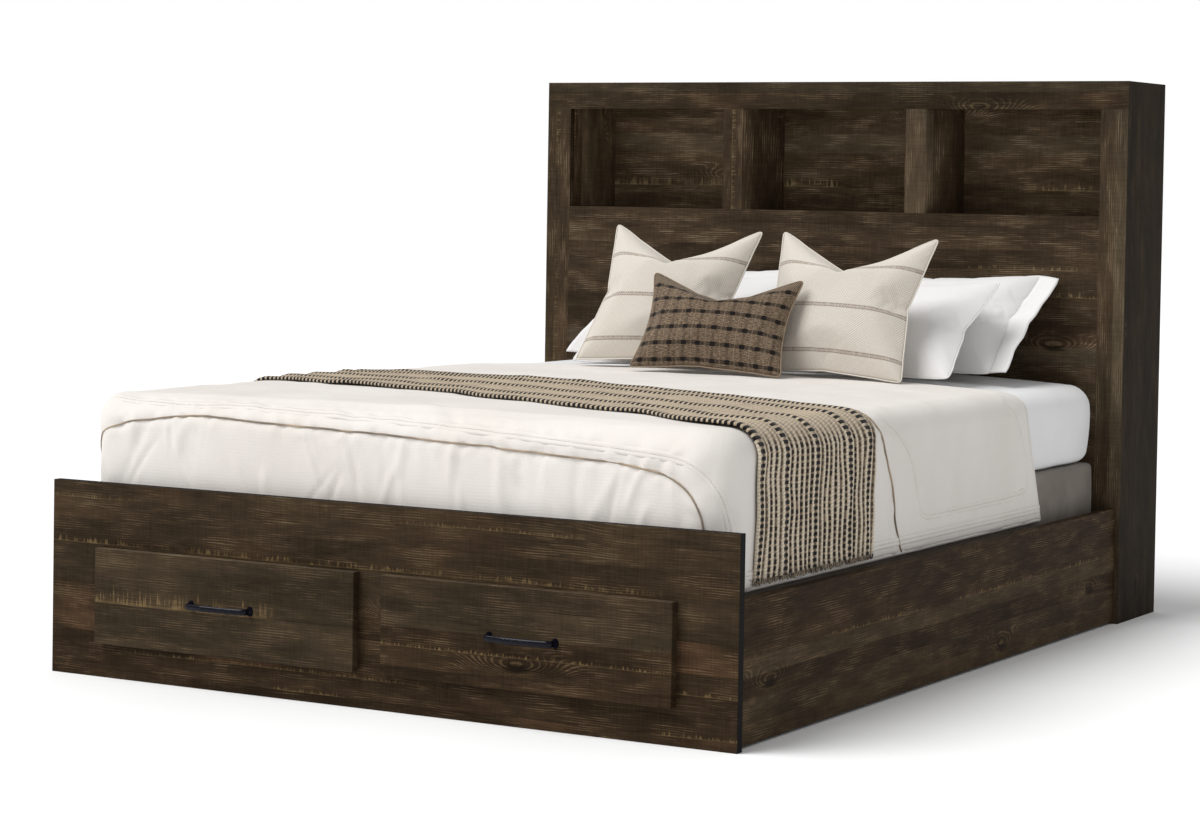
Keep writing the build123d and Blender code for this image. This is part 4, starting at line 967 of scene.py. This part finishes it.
def makeComforter(look):
    outer, tops, arcRows = drapeGrid(look, look["over"])
    inner, _, _ = drapeGrid(look, look["under"])
    x, y, z = outer[:, :, 0], outer[:, :, 1], outer[:, :, 2]
    drop = smoothStep(-z, -0.60, -0.52)
    atFoot = smoothStep(-y, -bedPlan["foot"] - 0.06, -bedPlan["foot"] - 0.005)
    atSide = smoothStep(np.abs(x), bedPlan["half"] - 0.05, bedPlan["half"])
    lift = 0.0016 * softNoise(x, y, 0.16, 3) + 0.0010 * softNoise(x, y, 0.07, 4)
    hangs = creaseField(x, z, 58, 21, (-0.76, 0.76, 0.40, 0.60), 0.15, 0.0085, 0.0046, (math.pi / 2, 0.30))
    hangs += 0.0030 * softNoise(x, z * 0.35, 0.075, 8) + 0.0014 * softNoise(x + 0.4 * z, z * 0.3, 0.035, 9)
    sides = creaseField(y, z, 30, 33, (-1.1, 0.5, 0.30, 0.56), 0.22, 0.012, 0.0022, (math.pi / 2, 0.10))
    sides += 0.0014 * softNoise(y, z * 0.3, 0.06, 12)
    field = lift * (1 - drop) + hangs * atFoot * drop + sides * atSide * drop
    soft = creaseField(x, y, 58, 57, (-0.72, 0.76, -1.10, 0.45), 0.20, 0.014, 0.0037, (0.1, 0.5))
    field += soft * (1 - drop) * (1 - smoothStep(y, 0.25, 0.42))
    piped, stitched = nearSeam(outer, pipedSeams), nearSeam(outer, ("shoulder", "panel"))
    closeTo = np.exp(-(np.minimum(piped, stitched) / 0.024) ** 2)
    field += look["pucker"] * softNoise(x + 0.6 * y, y * 0.9 + z, 0.021, 17) * closeTo
    field -= look["dip"] * np.exp(-(piped / 0.009) ** 2) + 0.6 * look["dip"] * np.exp(-(stitched / 0.009) ** 2)
    field = np.clip(field, -0.0060, 0.0070)
    away = gridNormals(outer) * facing(outer)
    away[0] = (0.0, 0.0, 1.0)
    outer = outer + away * field[:, :, None]
    verts, faces, uvs = closeSheet(outer, inner, joined=True)
    piece = makePiece("comforter_cover", verts, faces, uvs, finishes["comforter"])
    weld(piece, 2e-5)
    tree = BVHTree.FromPolygons([Vector(v) for v in outer.reshape(-1, 3)],
                                [tuple(f) for f in gridFaces(*outer.shape[:2])])
    return piece, tree, outer, inner


def facing(points):
    normal = gridNormals(points)
    middle = normal[points.shape[0] // 3, points.shape[1] // 2]
    return 1.0 if middle[2] > 0 else -1.0


def closeSheet(outer, inner, joined=False):
    rows, columns = outer.shape[:2]
    size = rows * columns
    verts = np.concatenate([outer.reshape(-1, 3), inner.reshape(-1, 3)])
    probe = gridFaces(rows, columns)[(rows // 3) * (columns - 1) + columns // 2]
    a, b, c = (verts[probe[k]] for k in range(3))
    outward = np.cross(b - a, c - a)[2] > 0
    faces = [tuple(f) for f in gridFaces(rows, columns, flip=not outward)]
    faces += [tuple(f) for f in gridFaces(rows, columns, flip=outward, offset=size)]
    rim = [(0, k) for k in range(columns)] + [(k, columns - 1) for k in range(1, rows)]
    rim += [(rows - 1, k) for k in range(columns - 2, -1, -1)] + [(k, 0) for k in range(rows - 2, 0, -1)]
    loop = [r * columns + c for r, c in rim]
    for k in range(len(loop)):
        p, q = loop[k], loop[(k + 1) % len(loop)]
        if joined and max(p, q) < columns:
            continue
        quad = (p, q, q + size, p + size)
        faces.append(quad if not outward else quad[::-1])
    run = np.linalg.norm(np.diff(outer, axis=0, prepend=outer[:1]), axis=2).cumsum(axis=0)
    over = np.linalg.norm(np.diff(outer, axis=1, prepend=outer[:, :1]), axis=2).cumsum(axis=1)
    flat = np.stack([over, run], axis=-1).reshape(-1, 2)
    return verts, faces, np.concatenate([flat, flat])


comforter, comforterTree, comforterOuter, comforterInner = makeComforter(comforterSet)
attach(comforter, "root")
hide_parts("comforter")
print("comforter:", len(comforter.data.polygons))


def rest(points, tree, lift):
    laid, ups = [], []
    for p in points:
        spot, normal, _, _ = tree.find_nearest(Vector(p))
        if normal.dot(Vector((p[0] * 0.3, (p[1] + 0.1) * 0.2, 1.0))) < 0:
            normal = -normal
        laid.append(tuple(spot + normal * lift))
        ups.append(tuple(normal))
    return evenOut(laid, 3), evenOut(ups, 8)


trimSet = {"pipe": 0.0020, "step": 0.008, "lift": 0.0014, "bead": 0.0056, "hemLine": -4,
           "ridge": [(-0.010, -0.0020), (-0.010, 0.0), (-0.006, 0.0013), (-0.002, 0.0017), (0.0, 0.0004),
                     (0.002, 0.0017), (0.006, 0.0013), (0.010, 0.0), (0.010, -0.0020)],
           "stitch": {"Spacing": 0.0065, "Thread Radius": 0.0006, "Stitch Length": 0.0042}}


def makePiping(look):
    shapes = []
    for key in pipedSeams:
        line, _ = rest(evenLine(seamPlan[key], look["step"]), comforterTree, look["lift"])
        shapes.append(tube(line, look["pipe"], 8))
    verts, faces = stack(shapes)
    made = makePiece("comforter_piping", verts, faces, None, finishes["piping"])
    weld(made, 1e-7)
    return made


def makeTrim(look, outer, inner):
    shapes, threads = [], []
    for key in ("shoulder", "panel"):
        line, ups = rest(evenLine(seamPlan[key], look["step"]), comforterTree, 0.0)
        shapes.append(sweep(line, ups, look["ridge"]))
        threads.append((line, ups))
    hem = outer[look["hemLine"]]
    sideways = (gridNormals(outer) * facing(outer))[look["hemLine"]]
    shapes.append(sweep(evenOut(hem, 2), evenOut(sideways, 6), look["ridge"]))
    threads.append((evenOut(hem, 2), evenOut(sideways, 6)))
    middle = (outer + inner) / 2
    for line in (middle[-1], middle[:, 0], middle[:, -1]):
        shapes.append(tube(evenOut(line, 2), look["bead"], 10))
    verts, faces = stack(shapes)
    made = makePiece("comforter_trim", verts, faces, None, finishes["comforter"])
    weld(made, 1e-7)
    return made, threads


def stitchGroup(finish):
    group, start, end = nodeGroup("stitches", ["Spacing", "Thread Radius", "Stitch Length"])
    kinds = ("MeshToCurve", "CurveToPoints", "MeshCylinder", "InstanceOnPoints", "RealizeInstances", "SetMaterial")
    curve, points, thread, place, real, dress = (group.nodes.new("GeometryNode" + kind) for kind in kinds)
    points.mode = "LENGTH"
    thread.inputs["Vertices"].default_value = 6
    dress.inputs["Material"].default_value = finish
    for source, target in ((start.outputs["Geometry"], curve.inputs[0]), (curve.outputs[0], points.inputs["Curve"]),
                           (start.outputs["Spacing"], points.inputs["Length"]),
                           (start.outputs["Thread Radius"], thread.inputs["Radius"]),
                           (start.outputs["Stitch Length"], thread.inputs["Depth"]),
                           (points.outputs["Points"], place.inputs["Points"]),
                           (points.outputs["Rotation"], place.inputs["Rotation"]),
                           (thread.outputs["Mesh"], place.inputs["Instance"]),
                           (place.outputs[0], real.inputs[0]), (real.outputs[0], dress.inputs["Geometry"]),
                           (dress.outputs[0], end.inputs[0])):
        group.links.new(source, target)
    return group


def lineHolder(name, lines):
    verts = [tuple(p) for line in lines for p in line]
    edges, start = [], 0
    for line in lines:
        edges += [(start + k, start + k + 1) for k in range(len(line) - 1)]
        start += len(line)
    mesh = bpy.data.meshes.new(name)
    mesh.from_pydata(verts, edges, [])
    made = bpy.data.objects.new(name, mesh)
    scene.collection.objects.link(made)
    return made


piping = makePiping(trimSet)
trim, threads = makeTrim(trimSet, comforterOuter, comforterInner)
stitches = lineHolder("comforter_stitches", [line + ups * 0.0009 for line, ups in threads])
bake(stitches, stitchGroup(finishes["thread"]), trimSet["stitch"])
for thing in (piping, trim, stitches):
    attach(thing, "root")
print("comforter trim:", len(trim.data.polygons), "stitches:", len(stitches.data.polygons))

throwSet = {"leftHem": 0.4705, "rightHem": 0.3065, "leftFront": -0.5142, "leftRear": -0.1078, "rightFront": -0.9917,
            "rightRear": -0.4431, "ribs": 24, "across": 192, "step": 0.016, "thick": 0.0035, "ribTop": 0.0012,
            "ribHang": 0.0030, "boldRise": 0.0050, "fold": 0.0030}


def makeThrow(look):
    grow = comforterSet["over"] + 0.0022
    half, edge = bedPlan["half"] + grow, bedPlan["edge"] + grow
    flat = half - edge
    top = bedPlan["shoulder"] + grow
    arc = edge * math.pi / 2
    leftDrop, rightDrop = top - edge - look["leftHem"], top - edge - look["rightHem"]
    total = leftDrop + arc + 2 * flat + arc + rightDrop
    count = int(total / look["step"])
    w = np.linspace(0, total, count)
    u = np.linspace(0, 1, look["across"] + 1)
    grid = np.zeros((count, len(u), 3))
    for i, run in enumerate(w):
        centre = run - leftDrop - arc - flat
        spread = np.clip((centre + flat) / (2 * flat), 0, 1)
        front = look["leftFront"] + (look["rightFront"] - look["leftFront"]) * spread
        rear = look["leftRear"] + (look["rightRear"] - look["leftRear"]) * spread
        y = front + (rear - front) * u
        sign = 1 if centre > 0 else -1
        over = abs(centre) - flat
        if over <= 0:
            x = np.full(len(u), centre)
            z = crownHeight(x, y, grow)
        elif over <= arc:
            angle = over / edge
            x = np.full(len(u), sign * (flat + edge * math.sin(angle)))
            z = np.full(len(u), top - edge + edge * math.cos(angle))
        else:
            x = np.full(len(u), sign * half)
            z = np.full(len(u), top - edge - (over - arc))
        grid[i] = np.column_stack([x, y, z])
    runs = np.repeat(w[:, None], len(u), axis=1)
    share = np.repeat(u[None, :], count, axis=0)
    side = np.sin(np.clip(share, 0, 1) * math.pi)
    wobble = 0.012 * softNoise(runs, share * 0.2, 0.15, 41) + 0.004 * softNoise(runs, share, 0.05, 42)
    grid[:, :, 1] += wobble * (0.55 + 0.45 * np.abs(2 * share - 1))
    normal = gridNormals(grid) * facing(grid)
    hang = smoothStep(-grid[:, :, 2], -0.59, -0.545)
    rib = np.abs(np.cos(math.pi * look["ribs"] * share)) ** 0.7
    bumpy = (look["ribTop"] + (look["ribHang"] - look["ribTop"]) * hang) * rib
    for middle in throwLook["bold"]:
        near = np.exp(-((share * look["ribs"] - middle) / 0.50) ** 2)
        bumpy = bumpy + look["boldRise"] * near * (1 - 0.6 * hang)
    ripple = 0.0024 * softNoise(runs, share * 0.5, 0.09, 43)
    ripple += look["fold"] * hang * np.clip(softNoise(runs * 0.25 + share * 0.05, share * 0.5, 0.085, 44), 0.0, 1.0)
    base = grid + normal * ripple[:, :, None]
    flatBase = base.reshape(-1, 3)
    flatNormal = normal.reshape(-1, 3)
    for k in range(len(flatBase)):
        spot, _, _, _ = comforterTree.find_nearest(Vector(flatBase[k]))
        gap = float(np.dot(flatBase[k] - np.array(spot), flatNormal[k]))
        if gap < 0.0012:
            flatBase[k] += flatNormal[k] * (0.0012 - gap)
    inner = flatBase.reshape(base.shape)
    outer = inner + normal * (look["thick"] - 0.0012 + bumpy)[:, :, None]
    verts, faces, _ = closeSheet(outer, inner)
    uv = np.stack([share, runs], axis=-1).reshape(-1, 2)
    piece = makePiece("throw_cover", verts, faces, np.concatenate([uv, uv]), finishes["throw"])
    middle = (outer + inner) / 2
    return piece, [middle[0], middle[-1]]


fringeSet = {"Spacing": 0.0112, "Loop Size": 0.0062, "Cord Radius": 0.0019}


def fringeGroup(finish):
    group, start, end = nodeGroup("fringe", list(fringeSet))
    kinds = ("MeshToCurve", "CurveToPoints", "CurvePrimitiveCircle", "CurvePrimitiveCircle", "CurveToMesh", "Transform",
             "InstanceOnPoints", "RealizeInstances", "SetMaterial")
    curve, points, loop, cord, body, turn, place, real, dress = (group.nodes.new("GeometryNode" + kind) for kind in kinds)
    points.mode = "LENGTH"
    loop.inputs["Resolution"].default_value = 10
    cord.inputs["Resolution"].default_value = 5
    turn.inputs["Scale"].default_value = (0.62, 1.0, 1.0)
    turn.inputs["Rotation"].default_value = (math.pi / 2, 0.0, math.pi / 2)
    drop = group.nodes.new("ShaderNodeCombineXYZ")
    lower = group.nodes.new("ShaderNodeMath")
    lower.operation = "MULTIPLY"
    lower.inputs[1].default_value = -0.55
    sway = group.nodes.new("FunctionNodeRandomValue")
    sway.data_type = "FLOAT_VECTOR"
    sway.inputs[0].default_value = (-0.30, -0.12, -0.35)
    sway.inputs[1].default_value = (0.30, 0.12, 0.35)
    size = group.nodes.new("FunctionNodeRandomValue")
    size.data_type = "FLOAT"
    size.inputs[2].default_value = 0.8
    size.inputs[3].default_value = 1.15
    for chance, seed in ((sway, 3), (size, 4)):
        chance.inputs["Seed"].default_value = seed
    dress.inputs["Material"].default_value = finish
    for source, target in ((start.outputs["Geometry"], curve.inputs[0]), (curve.outputs[0], points.inputs["Curve"]),
                           (start.outputs["Spacing"], points.inputs["Length"]),
                           (start.outputs["Loop Size"], loop.inputs["Radius"]),
                           (start.outputs["Cord Radius"], cord.inputs["Radius"]),
                           (start.outputs["Loop Size"], lower.inputs[0]), (lower.outputs[0], drop.inputs["Z"]),
                           (drop.outputs[0], turn.inputs["Translation"]),
                           (loop.outputs["Curve"], body.inputs["Curve"]), (cord.outputs["Curve"], body.inputs["Profile Curve"]),
                           (body.outputs["Mesh"], turn.inputs["Geometry"]), (points.outputs["Points"], place.inputs["Points"]),
                           (turn.outputs[0], place.inputs["Instance"]), (sway.outputs[0], place.inputs["Rotation"]),
                           (size.outputs[1], place.inputs["Scale"]), (place.outputs[0], real.inputs[0]),
                           (real.outputs[0], dress.inputs["Geometry"]), (dress.outputs[0], end.inputs[0])):
        group.links.new(source, target)
    return group


throw, throwEnds = makeThrow(throwSet)
fringe = lineHolder("throw_fringe", throwEnds)
bake(fringe, fringeGroup(finishes["fringe"]), fringeSet)
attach(fringe, "root")
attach(throw, "root")
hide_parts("throw")
print("throw:", len(throw.data.polygons))

pillowPlan = {
    "pillow_back_left": {"width": 0.610, "height": 0.425, "thick": 0.124, "lean": 55, "roll": 0.0, "yaw": 0.0,
                         "dent": 0.0, "round": 0.10, "finish": "pillow", "slot": "pillow_cotton", "fill": 0.5},
    "pillow_back_right": {"width": 0.610, "height": 0.425, "thick": 0.124, "lean": 55, "roll": 0.0, "yaw": 0.0,
                          "dent": 0.0, "round": 0.10, "finish": "pillow", "slot": "pillow_cotton", "fill": 0.5},
    "pillow_front_left": {"width": 0.520, "height": 0.410, "thick": 0.108, "lean": 55, "roll": 0.0, "yaw": 0.0,
                          "dent": 0.0, "round": 0.10, "finish": "pillow", "slot": "pillow_cotton", "fill": 0.5},
    "pillow_front_right": {"width": 0.520, "height": 0.410, "thick": 0.108, "lean": 55, "roll": 0.0, "yaw": 0.0,
                           "dent": 0.0, "round": 0.10, "finish": "pillow", "slot": "pillow_cotton", "fill": 0.5},
    "cushion_linen_left": {"width": 0.418, "height": 0.388, "thick": 0.122, "lean": 29, "roll": -1.5, "yaw": 0.0,
                           "dent": 0.100, "finish": "linen", "slot": "linen_weave", "fill": 0.8},
    "cushion_linen_right": {"width": 0.418, "height": 0.388, "thick": 0.122, "lean": 29, "roll": -1.5, "yaw": 0.0,
                            "dent": 0.100, "finish": "linen", "slot": "linen_weave", "fill": 0.8},
    "cushion_lumbar": {"width": 0.398, "height": 0.262, "thick": 0.096, "lean": 29, "roll": -1.5, "yaw": 4.0,
                       "dent": 0.058, "finish": "check", "slot": "check_weave", "fill": 0.8},
}
pillowPlan["pillow_back_left"].update(flange=-1)
pillowPlan["pillow_back_right"].update(flange=1)
simSet = {"cell": 0.0085, "frames": 20, "pressure": 4.5, "margin": 1.06}
formSet = {"sag": 0.055, "sideShare": 0.60, "lowShare": 0.85, "topShare": 0.45, "flangeDepth": 0.058, "flangeSag": 0.014,
           "flangeThick": 0.0030, "welt": 0.0019}


def flatPillow(name, look):
    width, height = look["width"] * simSet["margin"], look["height"] * simSet["margin"]
    nx, ny = int(width / simSet["cell"]), int(height / simSet["cell"])
    gx, gy = np.meshgrid(np.linspace(-1, 1, nx + 1), np.linspace(-1, 1, ny + 1), indexing="xy")
    swell = 0.16 * look["thick"] * (1 - gx ** 4) * (1 - gy ** 4) + 0.001
    px, py = gx * width / 2, gy * height / 2
    front = np.stack([px, py, swell], axis=-1).reshape(-1, 3)
    back = np.stack([px, py, -swell], axis=-1).reshape(-1, 3)
    size = len(front)
    edge = (np.abs(gx) > 0.9999) | (np.abs(gy) > 0.9999)
    index = np.arange(size)
    backIndex = np.where(edge.ravel(), index, 0)
    inner = np.flatnonzero(~edge.ravel())
    backIndex[inner] = size + np.arange(len(inner))
    front[edge.ravel(), 2] = 0.0
    verts = np.concatenate([front, back[inner]])
    quads = gridFaces(ny + 1, nx + 1)
    faces = [tuple(q) for q in quads] + [tuple(backIndex[q[::-1]]) for q in quads]
    flat = np.stack([px, py], axis=-1).reshape(-1, 2)
    uvs = np.concatenate([flat, flat[inner]])
    piece = makePiece(name, verts, faces, uvs, finishes[look["finish"]])
    loop = [k for k in range(nx)] + [k * (nx + 1) + nx for k in range(ny)]
    loop += [ny * (nx + 1) + k for k in range(nx, 0, -1)] + [k * (nx + 1) for k in range(ny, 0, -1)]
    ends = {side: [r * (nx + 1) + (nx if side > 0 else 0) for r in range(ny + 1)] for side in (1, -1)}
    return piece, loop, uvs / np.array([width / 2, height / 2]), ends


def inflate(pieces):
    for piece in pieces:
        cloth = piece.modifiers.new("fill", "CLOTH")
        s = cloth.settings
        s.quality = 5
        s.mass = 0.25
        s.tension_stiffness = 22
        s.compression_stiffness = 12
        s.shear_stiffness = 5
        s.bending_stiffness = 0.25
        s.air_damping = 2.0
        s.use_pressure = True
        s.uniform_pressure_force = simSet["pressure"]
        s.effector_weights.gravity = 0.0
        cloth.point_cache.frame_start = 1
        cloth.point_cache.frame_end = simSet["frames"]
    for number in range(1, simSet["frames"] + 1):
        scene.frame_set(number)
    graph = bpy.context.evaluated_depsgraph_get()
    for piece in pieces:
        mesh = bpy.data.meshes.new_from_object(piece.evaluated_get(graph))
        piece.modifiers.clear()
        piece.data = mesh
    scene.frame_set(1)


def pillowForm(piece, look, flat):
    mesh = piece.data
    co = np.zeros(len(mesh.vertices) * 3)
    mesh.vertices.foreach_get("co", co)
    co = co.reshape(-1, 3)
    gx, gy = flat[:, 0], flat[:, 1]
    low, high = co.min(axis=0), co.max(axis=0)
    co -= (low + high) / 2
    co *= np.array([look["width"], look["height"], look["thick"]]) / (high - low)
    # the sewn outline stays near its cut shape, and the lower edge is pressed straight by the bed
    corner = 1 - look.get("round", 0.02) * (np.abs(gx) * np.abs(gy)) ** 4
    aimX = gx * look["width"] / 2 * (1 - formSet["sag"] * (1 - gy ** 2)) * corner
    aimY = gy * look["height"] / 2 * (1 - formSet["sag"] * (1 - gx ** 2)) * corner
    share = formSet["topShare"] + (formSet["lowShare"] - formSet["topShare"]) * smoothStep(-gy, -0.2, 0.6)
    co[:, 0] += (aimX - co[:, 0]) * formSet["sideShare"]
    co[:, 1] += (aimY - co[:, 1]) * share
    if look["dent"]:
        x, y = co[:, 0] / (look["width"] / 2), co[:, 1] / (look["height"] / 2)
        reach = np.clip((y - 0.05) / 0.95, 0, 1) ** 1.4
        valley = np.clip(1 - np.abs(x) / 0.96, 0, 1) ** 1.2
        co[:, 1] -= look["dent"] * valley * reach
        co[:, 2] *= 1 + 0.25 * np.exp(-(x / 0.35) ** 2) * np.exp(-((y - 0.35) / 0.35) ** 2)
        co[:, 2] *= 1 - 0.34 * np.exp(-(x / 0.075) ** 2) * smoothStep(y, 0.25, 0.85)
    return co


def flangeForm(root, side):
    root = evenOut(root, 4)
    depth, share = formSet["flangeDepth"], np.linspace(0.0, 1.0, 7)
    rows = np.repeat(root[:, None, :], len(share), axis=1)
    wave = softNoise(root[:, 1] * 1.0, root[:, 1] * 0.3, 0.120, 61)[:, None]
    rows[:, :, 0] += side * (depth * share[None, :] - 0.004 - 0.008 * np.abs(wave) * share[None, :])
    rows[:, :, 1] -= formSet["flangeSag"] * share[None, :] ** 2
    rows[:, :, 2] += 0.016 * wave * share[None, :] + 0.006 * share[None, :] ** 2
    away = gridNormals(rows) * facing(rows)
    half = formSet["flangeThick"] / 2
    return rows + away * half, rows - away * half


def placePillow(name, piece, look, flat, loop, ends):
    co = pillowForm(piece, look, flat)
    side = look.get("flange", 0)
    shapes = [co]
    if side:
        co[:, 0] = co[:, 0] * (1 - formSet["flangeDepth"] / look["width"]) - side * formSet["flangeDepth"] / 2
        outer, inner = flangeForm(co[ends[side]], side)
        shapes += [outer.reshape(-1, 3), inner.reshape(-1, 3)]
    turn = (Matrix.Rotation(math.radians(look["yaw"]), 3, "Z") @ Matrix.Rotation(math.radians(90 - look["lean"]), 3, "X")
            @ Matrix.Rotation(math.radians(look["roll"]), 3, "Z"))
    shapes = [shape @ np.array(turn).T for shape in shapes]
    every = np.concatenate(shapes)
    low, high = (np.array(v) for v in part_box(name))
    shift = (low + high) / 2 - (every.min(axis=0) + every.max(axis=0)) / 2
    moved = sum(keepInside(shape, name, shift, 0.001) for shape in shapes)
    co = shapes[0]
    extras = []
    cord = evenOut(np.vstack([co[loop], co[loop[:1]]]), 2)[:-1]
    verts, faces = tube(cord, formSet["welt"], 6, closed=True)
    extras.append(makePiece(name + "_welt", verts, faces, np.full((len(verts), 2), 0.031), piece.data.materials[0]))
    if side:
        outer, inner = (shape.reshape(-1, 7, 3) for shape in shapes[1:])
        verts, faces, uvs = closeSheet(outer, inner)
        extras.append(makePiece(name + "_flange", verts, faces, uvs, piece.data.materials[0]))
    for extra in extras:
        weld(extra, 1e-7)
    return co, extras, moved


def keepInside(co, name, shift, slack):
    mesh = nodes[name].data
    tree = BVHTree.FromPolygons([v.co for v in mesh.vertices], [tuple(p.vertices) for p in mesh.polygons])
    co += shift
    moved = 0
    for k in range(len(co)):
        point = Vector(co[k])
        spot, normal, _, _ = tree.find_nearest(point)
        away = (point - spot).dot(normal)
        if away > slack:
            co[k] = tuple(spot + normal * slack)
            moved += 1
    return moved


def makePillows():
    flats = {name: flatPillow(name + "_fabric", look) for name, look in pillowPlan.items()}
    inflate([made[0] for made in flats.values()])
    for name, (piece, loop, flat, ends) in flats.items():
        look = pillowPlan[name]
        co, extras, moved = placePillow(name, piece, look, flat, loop, ends)
        piece.data.vertices.foreach_set("co", co.ravel())
        piece.data.update()
        sub = piece.modifiers.new("smooth", "SUBSURF")
        sub.levels = sub.render_levels = 1
        graph = bpy.context.evaluated_depsgraph_get()
        mesh = bpy.data.meshes.new_from_object(piece.evaluated_get(graph))
        piece.modifiers.clear()
        piece.data = mesh
        merge(piece, extras)
        mesh.shade_smooth()
        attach(piece, "root")
        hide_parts(name)
        print(name, "points held in:", moved, "of", len(co))


makePillows()

print("scene ready")
